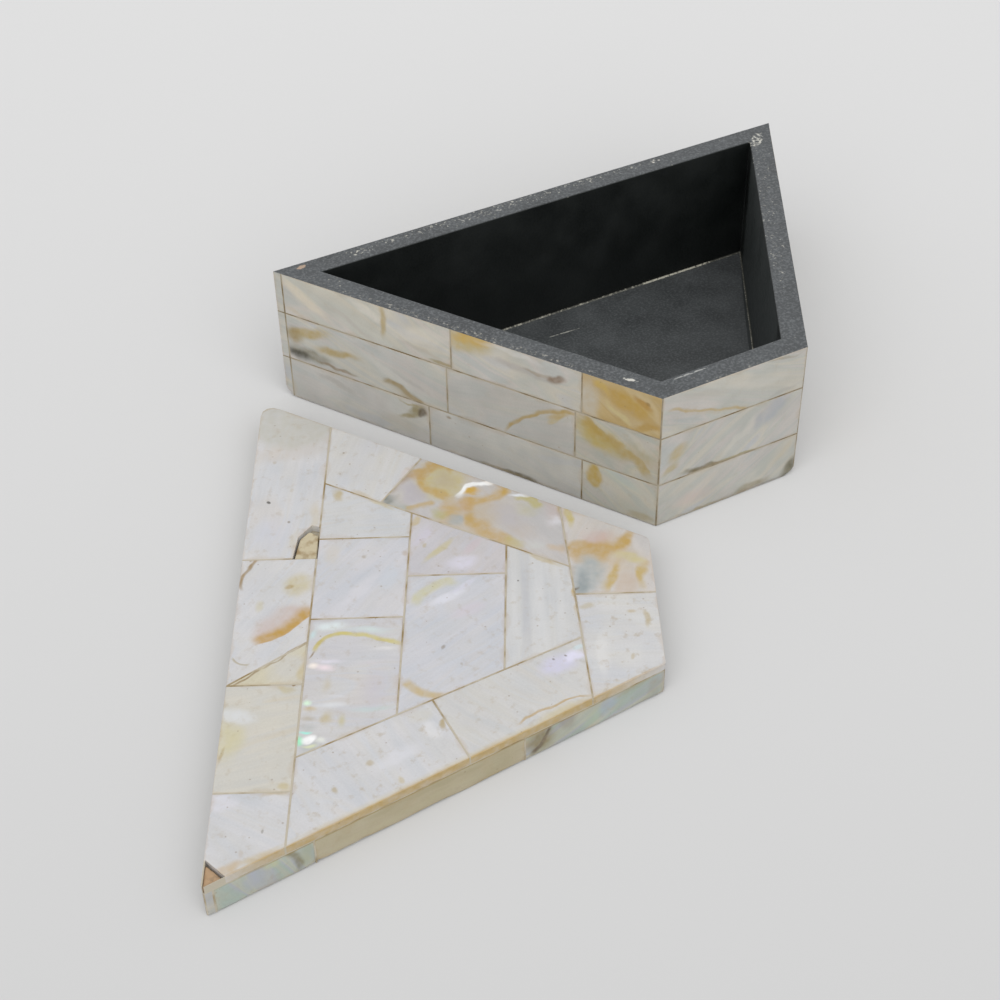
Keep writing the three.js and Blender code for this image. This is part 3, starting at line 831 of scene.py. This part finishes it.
        Spot("8c6d2e", 104.2, 2.6, 1.3, 0.7, 30, 0.7), light="b9a06a", shade="aa915e", turn=40, wobble=1.4,
    ),
    "box_left_middle_1": shell(
        GREY, Spot("ac9349", 9, 15.6, 8.6, 2.4, -16, 0.8), Spot("a88f4c", 17.5, 18.8, 8.8, 1.9, -8, 0.8),
        Spot("947c3e", 4.4, 17.6, 3.8, 3.4, 0, 0.8), Spot("807b66", 9, 22.2, 9.6, 2.6, 4, 0.85),
        Spot("433f31", 5.4, 23.2, 5, 2.2, 4, 0.95), Spot("816c4a", 17, 23.6, 8, 0.8, 3, 0.8),
        Spot("cbc8c2", 33, 19, 13, 2, 22, 0.55), Spot("a9a7a3", 40, 20, 8, 1, 20, 0.5),
        Arc("92783a", ((31, 21.4), (37.6, 22.8), (43.4, 25.4)), 1.7, 0.9, 0.85),
        Spot("a3967c", 38, 24, 7, 2, 14, 0.5), turn=12, wobble=0.9,
    ),
    "box_left_middle_2": shell(
        GREY, Arc("a78b44", ((67.6, 22.9), (75, 16.4), (86.8, 12)), 0.7, 0.8, 0.85),
        Spot("b09552", 81, 14.6, 4.6, 1.3, -32, 0.75), Spot("b8a56e", 79.6, 16.6, 3, 0.8, -35, 0.6),
        light="bcbab5", shade="b0afaa", turn=-10, gleam=0.25, wobble=0.7,
    ),
    "box_left_middle_3": shell(
        AMBER, Spot("b39e56", 92, 17, 10, 5, 20, 0.85), Spot("b09240", 90, 15, 4.6, 2.8, 20, 0.7),
        Arc("a98f49", ((86.8, 12.4), (97, 16.4), (107.2, 24.2)), 3.4, 0.8, 0.75),
        Spot("a8955e", 103, 18, 6, 4, 30, 0.5), Spot("c3bdae", 102.5, 15, 5, 1.8, 35, 0.6), light="b5b2a4",
        shade="a9a797", lustre=SMOKY, turn=15, wobble=1.3,
    ),
    "box_left_bottom_1": shell(
        GREY, Spot("8b7d4c", 40.4, 28.6, 4.8, 2.2, -30, 0.9, 0.8),
        Spot("55442d", 42.6, 28.6, 2, 1.5, -40, 0.95), Spot("938353", 37.4, 31, 3.4, 1.2, -24, 0.8),
        Spot("b3ab98", 36, 34, 7, 3, 10, 0.5), Spot("a09060", 39, 26.6, 4.4, 0.5, 12, 0.7),
        Spot("9d9a93", 16, 28.5, 8, 1.2, 14, 0.5), turn=10, gleam=0.3, wobble=1.3,
    ),
    # This tile darkens in a thin line along its bottom edge.
    "box_left_bottom_2": shell(
        GREY, Spot("5c5238", 71, 37.2, 7, 1.3, 0, 0.9), Spot("857858", 66, 37.5, 20, 0.9, 0, 0.7),
        Spot("8d7c60", 50.4, 26.9, 1.2, 0.7, 0, 0.75), light="c4c2bc", turn=5, gleam=0.2, specks=0.1,
    ),
    "box_left_bottom_3": shell(
        AMBER, Spot("b49743", 90.8, 29, 2.6, 4.2, -8, 0.9, 0.4), Spot("b9c2b2", 98, 27, 8, 1.8, 18, 0.5),
        Spot("a59468", 104, 36.2, 5, 1.6, -4, 0.6), Spot("c6bcae", 99, 32.5, 6, 1, 20, 0.45), light="bebbb0",
        shade="b4b5ab", lustre=SMOKY, turn=30,
    ),
    # The box's front.
    "box_front_top_1": shell(
        GREY, Arc("b39857", ((1.6, 4), (13.5, 7.6), (25.6, 12.6)), 0.7, 0.6, 0.75),
        Spot("b9ac93", 14, 8.4, 12, 1.2, 18, 0.4), Spot("c9c6bd", 25, 5, 12, 1.8, 12, 0.55),
        Spot("b3aba0", 12, 3, 9, 1.2, 14, 0.45), Spot("8f7f68", 34, 0.6, 6, 0.5, 0, 0.5),
        Spot("a3a09a", 34, 10.6, 6, 1, -10, 0.5), light="c6c4be", turn=20,
    ),
    "box_front_middle_1": shell(
        GREY, Spot("b4a06b", 4.6, 17.6, 4.4, 2.6, -40, 0.75), Spot("b3a06c", 3.2, 21.5, 3.6, 1.4, -30, 0.65),
        Spot("a3a7af", 32, 15, 6, 3, -40, 0.7), Spot("9fa5ad", 27.5, 17, 1.6, 3.6, 20, 0.5),
        Spot("cdc9bf", 22.5, 19.5, 9, 1.6, -42, 0.6), Spot("6f6340", 13, 24.8, 8.6, 1.1, 3, 0.95),
        Spot("948750", 24, 25.2, 9, 0.7, 3, 0.8), turn=-35, wobble=1.2,
    ),
    "box_front_bottom_1": shell(
        GREY, Spot("c9c1b8", 13, 30, 11, 2.4, -30, 0.6), Spot("aab0aa", 31, 31, 2, 6, 42, 0.55),
        Spot("c0b59c", 36, 29, 1.2, 5.4, 40, 0.5), Spot("6b664f", 39, 35.2, 2.8, 4.8, 30, 0.95),
        Spot("8f8467", 27, 36.6, 8, 1.6, -6, 0.7), Spot("98895e", 14, 37.4, 12, 0.8, 0, 0.65),
        Spot("c9b6ae", 10, 33, 8, 3, 0, 0.5), turn=-30,
    ),
}

# Black lacquer that hands have rubbed to a dry, speckled grey, made lighter still by a painted sheen of the
# light from above, with white scuffs where it is worn through.
RIM = Lacquer(
    "black_lacquer_rim_rubbed_grey", dusty="4b4e50", grain="8a8e91", speckle=0.45,
    marks=(
        Spot("b39c88", -28.2, 70.6, 3.4, 1.7, 14, 0.66, 0.9), Spot("c9c7bd", -12, 69.6, 6.5, 2.6, 0, 0.42),
        Spot("c4c2b8", 30, 70.6, 70, 2.4, 0, 0.36, 0.4), Spot("cfccc2", 76, 70.6, 3.4, 1.6, 0, 0.45),
        Spot("bdbbb2", 86, 31, 54, 3.4, 59.3, 0.33, 0.4), Spot("cac8bf", 106, 66, 9, 3.4, 40, 0.46),
        Spot("d2d0c8", 17.5, -10.3, 3.2, 0.9, -50, 0.62), Spot("a8a9a6", 31, -15, 9, 0.5, 0, 0.55),
        Spot("a29f96", 40, -19.4, 21, 0.8, 0, 0.35), Spot("a8a59c", -6, 26, 52, 1.4, -59.3, 0.38, 0.4),
    ),
)
# The same lacquer out of reach: deep black walls, and a floor that dust and painted light from above turn
# charcoal.
INSIDE = Lacquer(
    "black_lacquer_inside_dusty", deep="111514", dusty="484b4c", chips=0.0,
    marks=(
        Spot("b1b1a8", 40, 57, 9, 0.4, -3, 0.52), Spot("353939", 80.4, 26.2, 48, 1.4, 59.26, 0.85, 0.3),
        Spot("a5a59d", 98, 62, 2, 1.2, 0, 0.4), Spot("8b8b84", 70, 50, 30, 16, 0, 0.12),
    ),
)
# Old glue and dust in the corners of the floor, which draw a broken pale line.
CORNER_GLUE = Lacquer(
    "old_glue_in_the_corners", deep="4a4a44", dusty="56564f", grain="aaa89c", speckle=0.8, chips=0.0,
    marks=(
        Spot("b9b6a8", 40, 66.3, 60, 2, 0, 0.44, 0.4), Spot("cdcaba", 82, 66.3, 16, 2, 0, 0.56, 0.4),
        Spot("a8a598", 80, 30, 45, 3, 59.3, 0.46, 0.4),
    ),
)
# Plain satin black.
UNDERSIDE = Lacquer("black_lacquer_lid_underside")


MERGE = 0.002 * MM
FLAT = math.radians(0.5)


@dataclass
class Piece:
    """What every new piece shares: its name, a slot name that is kept but not applied, and the body that it
    rides on.
    """

    name: str
    slot: str

    def place(
        self, shape: Shape, materials: Iterable[Material], replaced: tuple[str, ...] = ()
    ) -> bpy.types.Object:
        """Turns a finished shape to a piece of the scene.

        Args:
            shape: the shape, in the frame; it is freed.
            materials: its finishes, in the order that its faces count them.
            replaced: the model's nodes that the piece stands for.

        Returns:
            The piece.
        """
        piece = stood(self.name, shape)
        for material in materials:
            piece.data.materials.append(material)
        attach(piece, BODY)
        if replaced:
            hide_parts(*replaced)
        return piece


def stood(name: str, shape: Shape) -> bpy.types.Object:
    """Puts a shape in the scene as an object of that name, and frees it.

    Args:
        name: the object's name.
        shape: the shape, in the frame; it is freed.

    Returns:
        The object.
    """
    mesh = bpy.data.meshes.new(name)
    shape.to_mesh(mesh)
    shape.free()
    thing = bpy.data.objects.new(name, mesh)
    bpy.context.scene.collection.objects.link(thing)
    return thing


def merged_copy(node: str) -> Shape:
    """Copies a node's loose triangles to a closed shape, with its doubles merged and its flat faces whole.

    Args:
        node: the node's name.

    Returns:
        The copy.
    """
    shape = bmesh.new()
    shape.from_mesh(frame["nodes"][node].data)
    bmesh.ops.remove_doubles(shape, verts=shape.verts, dist=MERGE)
    flattened(shape)
    return shape


def flattened(shape: Shape) -> None:
    """Joins the neighbours that lie in one plane to whole faces."""
    bmesh.ops.dissolve_limit(shape, angle_limit=FLAT, verts=shape.verts, edges=shape.edges)


def everything(shape: Shape) -> list[object]:
    """All of a shape's vertices, edges and faces, for an operator that wants them in one list."""
    return [*shape.verts, *shape.edges, *shape.faces]


def rubbed(
    shape: Shape, edges: list[bmesh.types.BMEdge], offset: float, segments: int, clamp: bool = True
) -> list[bmesh.types.BMFace]:
    """Rubs edges round.

    Args:
        shape: the shape.
        edges: the edges.
        offset: metres from each edge to where the round starts.
        segments: steps in the round.
        clamp: whether short neighbours hold the offset back.

    Returns:
        The faces of the round.
    """
    made = bmesh.ops.bevel(
        shape,
        geom=edges,
        offset=offset,
        offset_type="OFFSET",
        segments=segments,
        profile=0.5,
        affect="EDGES",
        material=-1,
        clamp_overlap=clamp,
    )
    return made["faces"]


def prism(outline: list[Vector], low: float, high: float) -> Shape:
    """Stands an outline up to a closed block.

    Args:
        outline: the plan corners.
        low: the height of its bottom, in metres.
        high: the height of its top, in metres.

    Returns:
        The block.
    """
    shape = bmesh.new()
    corners = [bmesh.ops.create_vert(shape, co=(p.x, p.y, low))["vert"][0] for p in outline]
    base = bmesh.ops.contextual_create(shape, geom=corners)["faces"]
    raised = bmesh.ops.extrude_face_region(shape, geom=base, use_keep_orig=True)
    lifted = [v for v in raised["geom"] if isinstance(v, bmesh.types.BMVert)]
    bmesh.ops.translate(shape, verts=lifted, vec=(0, 0, high - low))
    bmesh.ops.recalc_face_normals(shape, faces=shape.faces)
    return shape


def joined(shapes: Iterable[Shape]) -> Shape:
    """Puts several shapes that keep clear of each other into one, and frees them.

    Args:
        shapes: the shapes; they are freed.

    Returns:
        The whole.
    """
    whole = bmesh.new()
    for shape in shapes:
        scratch = bpy.data.meshes.new("scratch")
        shape.to_mesh(scratch)
        shape.free()
        whole.from_mesh(scratch)
        bpy.data.meshes.remove(scratch)
    return whole


def less(block: Shape, void: Shape) -> Shape:
    """Takes one shape from another.

    Args:
        block: the shape that stays; it is freed.
        void: the shape that is taken away; it is freed.

    Returns:
        What is left of the block.
    """
    held = [stood("scratch", shape) for shape in (block, void)]
    cut = held[0].modifiers.new("less", "BOOLEAN")
    cut.operation = "DIFFERENCE"
    cut.solver = "EXACT"
    cut.object = held[1]
    bpy.context.view_layer.update()
    left = held[0].evaluated_get(bpy.context.evaluated_depsgraph_get())
    result = bmesh.new()
    result.from_mesh(left.to_mesh())
    left.to_mesh_clear()
    for each in held:
        mesh = each.data
        bpy.data.objects.remove(each)
        bpy.data.meshes.remove(mesh)
    return result


@dataclass(frozen=True)
class WornCorner:
    """A bottom corner of the box that was knocked and rubbed round, to a radius in millimetres."""

    corner: str
    radius: float
    nodes: tuple[str, ...]
    turns: tuple[float, ...] = (18, 45, 72)

    def wear(self, shape: Shape, plan: Plan) -> None:
        """Planes the corner off a shape, one cut after another.

        Args:
            shape: a tile or the filler.
            plan: the plan corners.
        """
        out = -plan.spread("box", plan.names.index(self.corner.removeprefix("box_"))).normalized()
        middle = plan.corners[self.corner] - out * self.radius * MM + UP * self.radius * MM
        for turn in map(math.radians, self.turns):
            facing = out * math.cos(turn) - UP * math.sin(turn)
            place = middle + facing * self.radius * MM
            cut = bmesh.ops.bisect_plane(
                shape, geom=everything(shape), plane_co=place, plane_no=facing, clear_outer=True
            )
            loop = [e for e in cut["geom_cut"] if isinstance(e, bmesh.types.BMEdge)]
            if loop:
                bmesh.ops.contextual_create(shape, geom=loop)


WORN_CORNERS = (
    WornCorner("box_back_left", 4.0, ("box_left_bottom_1", "box_back_bottom_3")),
    WornCorner("box_front_right", 3.0, ("box_front_bottom_1", "box_right_bottom_1")),
)


@dataclass(frozen=True)
class Patch:
    """A corner broken off the lid's shell and made good with a lump of paste, in millimetres on its sheet."""

    name: str
    node: str
    hole: tuple[Point, ...]
    lump: tuple[Point, ...]
    height: float
    paste: Filler
    swell: float = 0.24
    foot: float = 7.02
    cuts: int = 5

    def void(self, plan: Plan) -> Shape:
        """The hole, from a film of glue on the board up through the lid's top."""
        sheet = plan.sheet(Face.LID_TOP)
        return prism([sheet.world(*point) for point in self.hole], 7.0 * MM, plan.tops["lid"] + MM)

    def build(self, plan: Plan) -> bpy.types.Object:
        """Presses the lump of paste into the hole.

        Args:
            plan: the plan corners.

        Returns:
            The piece.
        """
        sheet = plan.sheet(Face.LID_TOP)
        low = self.foot * MM
        shape = prism([sheet.world(*point) for point in self.lump], low, low + self.height * MM)
        upper = [e for e in shape.edges if all(v.co.z > low + 0.1 * MM for v in e.verts)]
        rubbed(shape, upper, 0.25 * MM, 2)
        bmesh.ops.triangulate(shape, faces=shape.faces)
        bmesh.ops.subdivide_edges(shape, edges=shape.edges, cuts=self.cuts, use_grid_fill=True)
        for vert in shape.verts:
            if vert.co.z > low + 0.1 * MM:
                vert.co.z += noise.fractal(vert.co / (1.1 * MM), 0.9, 2.0, 4) * self.swell * MM
        axes = {"use_axis_x": True, "use_axis_y": True, "use_axis_z": True}
        bmesh.ops.smooth_vert(shape, verts=shape.verts, factor=0.3, **axes)
        for face in shape.faces:
            face.smooth = True
        piece = Piece(self.name, "joint_filler").place(shape, [self.paste.material()])
        LOG.info("%s: %.1f mm thick", self.name, self.height)
        return piece


PATCHES = (
    Patch(
        "lid_patch_back_right_corner",
        "lid_top_back_5",
        ((91.0, 11.3), (98.5, 12.2), (102.6, 15.1), (102.0, 17.0), (91.0, 17.2)),
        ((91.5, 11.7), (98.3, 12.6), (100.6, 14.6), (99.6, 16.8), (91.5, 16.8)),
        1.55,
        Filler("cream_paste_in_a_broken_corner", "c9bda0", "a08a66", 3.0),
    ),
    Patch(
        "lid_patch_back_left_corner",
        "lid_top_back_1",
        ((0.3, 0.3), (6.75, 0.3), (2.8, 4.42)),
        ((0.5, 0.3), (6.1, 0.3), (2.6, 3.9)),
        1.5,
        Filler("peach_paste_in_a_broken_corner", "b99a78", "86715c", 2.2),
    ),
)


@dataclass
class Tiles:
    """The shell tiles of one face: sawn, broken and worn in places, and rubbed round at the arrises."""

    plan: Plan
    face: Face
    materials: dict[str, Material]
    rim: Material
    arris: float = 0.08
    crown: float = 0.01
    steps: tuple[float, ...] = (0.3, 0.6, 1.2)
    wave_step: float = 1.2
    chips_at: tuple[float, ...] = (24.0, 34.5)
    sheet: Sheet = field(init=False)
    edging: bool = field(init=False)

    def __post_init__(self) -> None:
        """Lays the face's sheet, and notes whether these are the strips round the lid's edge."""
        self.sheet = self.plan.sheet(self.face)
        self.edging = self.face.value[0].startswith("lid_edge")

    def build(self, slots: dict[str, str]) -> list[bpy.types.Object]:
        """Builds every tile of the face.

        Args:
            slots: node name to the record's material slot.

        Returns:
            The pieces.
        """
        nodes = sorted(n for n in frame["nodes"] if n.startswith(self.face.value[0]))
        pieces = [self.tile(node, slots[node]) for node in nodes]
        LOG.info("%s: %d tiles", self.face.name.lower(), len(pieces))
        return pieces

    def finish(self, node: str, slot: str) -> Material:
        """Finds or makes a tile's material.

        Args:
            node: the tile's node.
            slot: its material slot in the record.

        Returns:
            The material.
        """
        own = TILE_FINISHES.get(node)
        finish = replace(own, name=f"{own.name}_{node}") if own else SLOT_FINISHES[slot]
        if finish.name not in self.materials:
            self.materials[finish.name] = finish.material()
        return self.materials[finish.name]

    def tile(self, node: str, slot: str) -> bpy.types.Object:
        """Builds one tile.

        Args:
            node: the tile's node.
            slot: its material slot in the record.

        Returns:
            The piece.
        """
        shape = merged_copy(node)
        for patch in PATCHES:
            if patch.node == node:
                shape = less(shape, patch.void(self.plan))
                flattened(shape)
        if self.edging:
            self.waved(shape)
        rubbed(shape, list(self.shown(shape).edges), self.arris * MM, 3)
        # In the sharpest dips of a wavy edge the round shrinks to a point, whose vertices are joined here.
        bmesh.ops.remove_doubles(shape, verts=shape.verts, dist=0.003 * MM)
        self.crowned(shape)
        for worn in WORN_CORNERS:
            if node in worn.nodes:
                worn.wear(shape, self.plan)
        self.mapped(shape, node)
        rimmed = node.startswith("box") and "_top_" in node
        for face in shape.faces:
            face.smooth = face.normal.dot(self.sheet.out) > 0.3
            face.material_index = int(rimmed and face.normal.z > 0.9)
        bmesh.ops.triangulate(shape, faces=[f for f in shape.faces if len(f.verts) > 4])
        materials = [self.finish(node, slot), self.rim] if rimmed else [self.finish(node, slot)]
        return Piece(f"{node}.polished", slot).place(shape, materials, (node,))

    def shown(self, shape: Shape) -> bmesh.types.BMFace:
        """The tile's polished face: the largest that looks the sheet's way."""
        return max(shape.faces, key=lambda f: f.normal.dot(self.sheet.out) * f.calc_area())

    def waved(self, shape: Shape) -> None:
        """Ripples a strip's lower edge, which was sawn by eye and is chipped in two places.

        Args:
            shape: the strip.
        """
        sheet = self.sheet
        places = [sheet.flat(v.co)[0] for v in shape.verts]
        first, last = min(places) + 1.0, max(places) - 1.0
        low = min(v.co.z for v in shape.verts)
        cuts = max(1, int((last - first) / self.wave_step))
        for i in range(cuts + 1):
            place = sheet.world(first + (last - first) * i / cuts, 0)
            bmesh.ops.bisect_plane(shape, geom=everything(shape), plane_co=place, plane_no=sheet.along)
        for vert in shape.verts:
            if vert.co.z < low + 0.01 * MM:
                place = sheet.flat(vert.co)[0]
                ripple = 0.22 + 0.3 * noise.noise(sheet.world(place, 0) / (6 * MM))
                chip = 0.4 * sum(math.exp(-(((place - at) / 1.1) ** 2)) for at in self.chips_at)
                vert.co.z += max(0.0, ripple + chip) * MM
        flattened(shape)

    def crowned(self, shape: Shape) -> None:
        """Insets the tile's face in steps, a hair higher at each, and notes the distance from the arris.

        Args:
            shape: the tile.
        """
        layer = shape.verts.layers.float.new(EDGE)
        top = self.shown(shape)
        level = self.sheet.flat(top.calc_center_median())[2]
        for vert in shape.verts:
            vert[layer] = max(0.0, level - self.sheet.flat(vert.co)[2] - self.arris)
        room = 2 * top.calc_area() / sum(e.calc_length() for e in top.edges)
        gone = 0.0
        for step in self.steps[: 2 if self.edging else 3]:
            if (gone + step) * MM > 0.6 * room:
                break
            # On a rounded corner the short sides would cross at this step, so they are drawn together first.
            if gone and min(e.calc_length() for e in top.edges) < 1.6 * step * MM:
                bmesh.ops.remove_doubles(shape, verts=list(top.verts), dist=1.6 * step * MM)
                top = self.shown(shape)
            rise = self.crown * MM
            bmesh.ops.inset_region(shape, faces=[top], thickness=step * MM, depth=rise, use_even_offset=True)
            gone += step
            for vert in top.verts:
                vert[layer] = gone

    def mapped(self, shape: Shape, node: str) -> None:
        """Writes the tile's two UV maps: its place on the sheet, and its place along the growth lines.

        Args:
            shape: the tile.
            node: the tile's node, which picks the part of the shell that the tile is sawn from.
        """
        sheet = self.sheet
        dice = random.Random(node)
        given = TILE_FINISHES[node].turn if node in TILE_FINISHES else None
        turn = math.radians(dice.uniform(-50, 50) if given is None else given)
        shift = (dice.uniform(0, 400), dice.uniform(0, 400))
        level = max(sheet.flat(v.co)[2] for v in shape.verts)
        flat, grown = shape.loops.layers.uv.new(SHEET), shape.loops.layers.uv.new(GROWTH)
        for face in shape.faces:
            for loop in face.loops:
                u, v, proud = sheet.flat(loop.vert.co)
                # The sides are folded out, so that the pattern runs on round the arris.
                u += face.normal.dot(sheet.along) * (level - proud)
                v += face.normal.dot(sheet.down) * (level - proud)
                loop[flat].uv = (u, v)
                loop[grown].uv = (
                    u * math.cos(turn) + v * math.sin(turn) + shift[0],
                    v * math.cos(turn) - u * math.sin(turn) + shift[1],
                )


@dataclass
class Woodwork:
    """The lacquered wood under the shell: the hollow carcass and the lid's board."""

    rim: Material
    ease: float = 0.35

    def carcass(self) -> bpy.types.Object:
        """Builds the carcass with its inner arrises rubbed round.

        Returns:
            The piece: lacquer inside, old glue in the corners of the floor, and a rubbed rim.
        """
        shape = merged_copy("box_carcass")
        low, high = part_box("box_carcass")
        middle = (low + high) / 2
        hollow = {f for f in shape.faces if self.looks_in(f, middle)}
        floor = max(f.calc_center_median().z for f in hollow if f.normal.z > 0.9)
        bevelled = rubbed(shape, [e for e in shape.edges if hollow & set(e.link_faces)], self.ease * MM, 3)
        margin = (self.ease + 0.05) * MM
        for face in shape.faces:
            height = face.calc_center_median().z
            if height > high.z - margin:
                face.material_index = 2
            elif face in bevelled and height < floor + margin:
                face.material_index = 1
        materials = [INSIDE.material(), CORNER_GLUE.material(), self.rim]
        piece = Piece("box_carcass.lacquered", "black_lacquer").place(shape, materials, ("box_carcass",))
        LOG.info("carcass: %.0f mm high, floor at %.1f mm", (high.z - low.z) / MM, floor / MM)
        return piece

    @staticmethod
    def looks_in(face: bmesh.types.BMFace, middle: Vector) -> bool:
        """Tells the hollow's walls and floor from the other faces.

        Args:
            face: a face of the carcass.
            middle: the middle of the carcass.

        Returns:
            Whether it is one of them.
        """
        centre = face.calc_center_median()
        if face.normal.z > 0.9:
            return centre.z < middle.z
        return abs(face.normal.z) < 0.1 and face.normal.dot(middle - centre) > 0

    @staticmethod
    def board() -> None:
        """Dresses the lid's board, which only shows from below."""
        frame["nodes"]["lid_board"].material_slots[0].material = UNDERSIDE.material()
        LOG.info("lid board: dressed")


@dataclass
class Grout:
    """The filler cast between the tiles of box or lid: a block of filler less the wood and the tiles."""

    plan: Plan
    thing: str
    finish: Filler
    rim: Material
    radii: tuple[float, ...] = ()
    recess: float = 0.03
    foot: float = 0.3

    def build(self) -> bpy.types.Object:
        """Casts the filler.

        Returns:
            The piece.
        """
        on_box = self.thing == "box"
        top = self.plan.tops[self.thing] - (0 if on_box else self.recess * MM)
        outline = self.plan.outline(self.thing, self.recess * MM)
        block = prism(outline, self.foot * MM, top)
        for i, radius in enumerate(self.radii):
            self.rounded(block, outline, i, radius)
        nodes = sorted(n for n in frame["nodes"] if n.startswith(f"{self.thing}_") and n != "box_carcass")
        voids = [merged_copy(node) for node in nodes]
        if on_box:
            for worn in WORN_CORNERS:
                worn.wear(block, self.plan)
            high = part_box("box_carcass")[1]
            wood = self.plan.corners["box_back_left"].y - high.y
            voids.append(prism(self.plan.outline("box", wood), -MM, high.z + MM))
        shape = less(block, joined(voids))
        if not on_box:
            shape = less(shape, joined([patch.void(self.plan) for patch in PATCHES]))
        for face in shape.faces:
            level = face.calc_center_median().z > top - 0.01 * MM
            face.material_index = int(on_box and level and face.normal.z > 0.9)
        bmesh.ops.triangulate(shape, faces=shape.faces)
        materials = [self.finish.material(), self.rim] if on_box else [self.finish.material()]
        piece = Piece(f"{self.thing}_joint_filler", "joint_filler").place(shape, materials)
        LOG.info("%s filler: %d faces", self.thing, len(piece.data.polygons))
        return piece

    @staticmethod
    def rounded(block: Shape, outline: list[Vector], i: int, radius: float) -> None:
        """Rounds one upright edge of the block.

        Args:
            block: the block.
            outline: its plan corners.
            i: which corner.
            radius: its radius, in millimetres.
        """
        corner = outline[i]
        angle = (outline[i - 1] - corner).angle(outline[(i + 1) % 4] - corner)
        uprights = [e for e in block.edges if abs(e.verts[0].co.z - e.verts[1].co.z) > MM]
        edge = min(uprights, key=lambda e: (e.verts[0].co.xy - corner.xy).length)
        rubbed(block, [edge], radius * MM / math.tan(angle / 2), 4, clamp=False)


@dataclass
class Studio:
    """The plain pale floor, the soft light and the camera."""

    floor_size: float = 6.0
    lens: float = 62.945
    sensor: float = 36.0
    eye: tuple[float, float, float] = (-0.160084, -0.278072, 0.274887)
    right: tuple[float, float, float] = (0.87538, -0.48320, -0.01537)
    up: tuple[float, float, float] = (0.32327, 0.56141, 0.76179)
    room_light: float = 0.68
    sun_light: float = 1.35
    sun_spread: float = 80.0
    sun_from: tuple[float, float, float] = (-0.45, -0.8, 1.0)

    def floor(self) -> None:
        """Lays the floor, which belongs to the studio and not to the box."""
        shape = bmesh.new()
        bmesh.ops.create_grid(shape, x_segments=1, y_segments=1, size=self.floor_size / 2)
        floor = stood("floor", shape)
        # Matt paper, so that the floor takes the soft shadows and shines nowhere.
        paper = Paint("pale_paper_backdrop_matt")
        matt = paper.add("BsdfDiffuse", {"Color": "d8d8d8", "Roughness": 1.0})
        paper.add("OutputMaterial", {0: matt})
        floor.data.materials.append(paper.material)

    def light(self) -> None:
        """Hangs a broad soft light over the front left of the table, in an evenly lit room."""
        world = bpy.data.worlds.new("room")
        bpy.context.scene.world = world
        world.use_nodes = True
        backdrop = world.node_tree.nodes["Background"]
        backdrop.inputs["Color"].default_value = linear("ffffff")
        backdrop.inputs["Strength"].default_value = self.room_light
        sun = bpy.data.lights.new("softbox", "SUN")
        sun.energy = self.sun_light
        sun.angle = math.radians(self.sun_spread)
        held = bpy.data.objects.new("softbox", sun)
        bpy.context.scene.collection.objects.link(held)
        held.rotation_euler = Vector(self.sun_from).to_track_quat("Z", "Y").to_euler()

    def camera(self) -> None:
        """Sets the camera where the photograph was taken from."""
        right, up = Vector(self.right).normalized(), Vector(self.up)
        back = right.cross(up).normalized()
        up = back.cross(right)
        lens = bpy.data.cameras.new("camera")
        lens.lens = self.lens
        lens.sensor_width = self.sensor
        lens.clip_start = 0.01
        held = bpy.data.objects.new("camera", lens)
        held.matrix_world = Matrix.Translation(self.eye) @ Matrix((right, up, back)).transposed().to_4x4()
        bpy.context.scene.collection.objects.link(held)
        bpy.context.scene.camera = held

    def build(self) -> None:
        """Sets the whole studio up, with colours shown as they are."""
        self.floor()
        self.light()
        self.camera()
        bpy.context.scene.view_settings.view_transform = "Standard"
        LOG.info("studio: ready")


def main() -> None:
    """Builds the studio, the woodwork, the tiles and the filler, and reports each."""
    logging.basicConfig(level=logging.INFO, format="%(message)s")
    slots = {part["node"]: part["material_slot"] for part in frame["record"]["subparts"]}
    plan = Plan()
    Studio().build()
    rim = RIM.material()
    wood = Woodwork(rim)
    wood.carcass()
    wood.board()
    materials: dict[str, Material] = {}
    for face in Face:
        Tiles(plan, face, materials, rim).build(slots)
    resin = Filler("brown_resin_in_the_box_joints", "a89f8c", "786847")
    glue = Filler("old_glue_in_the_lid_joints", "c0b8a6", "978259")
    Grout(plan, "box", resin, rim).build()
    Grout(plan, "lid", glue, rim, (0.6, 1.0, 2.5, 3.0)).build()
    for patch in PATCHES:
        patch.build(plan)


if __name__ == "__main__":
    main()
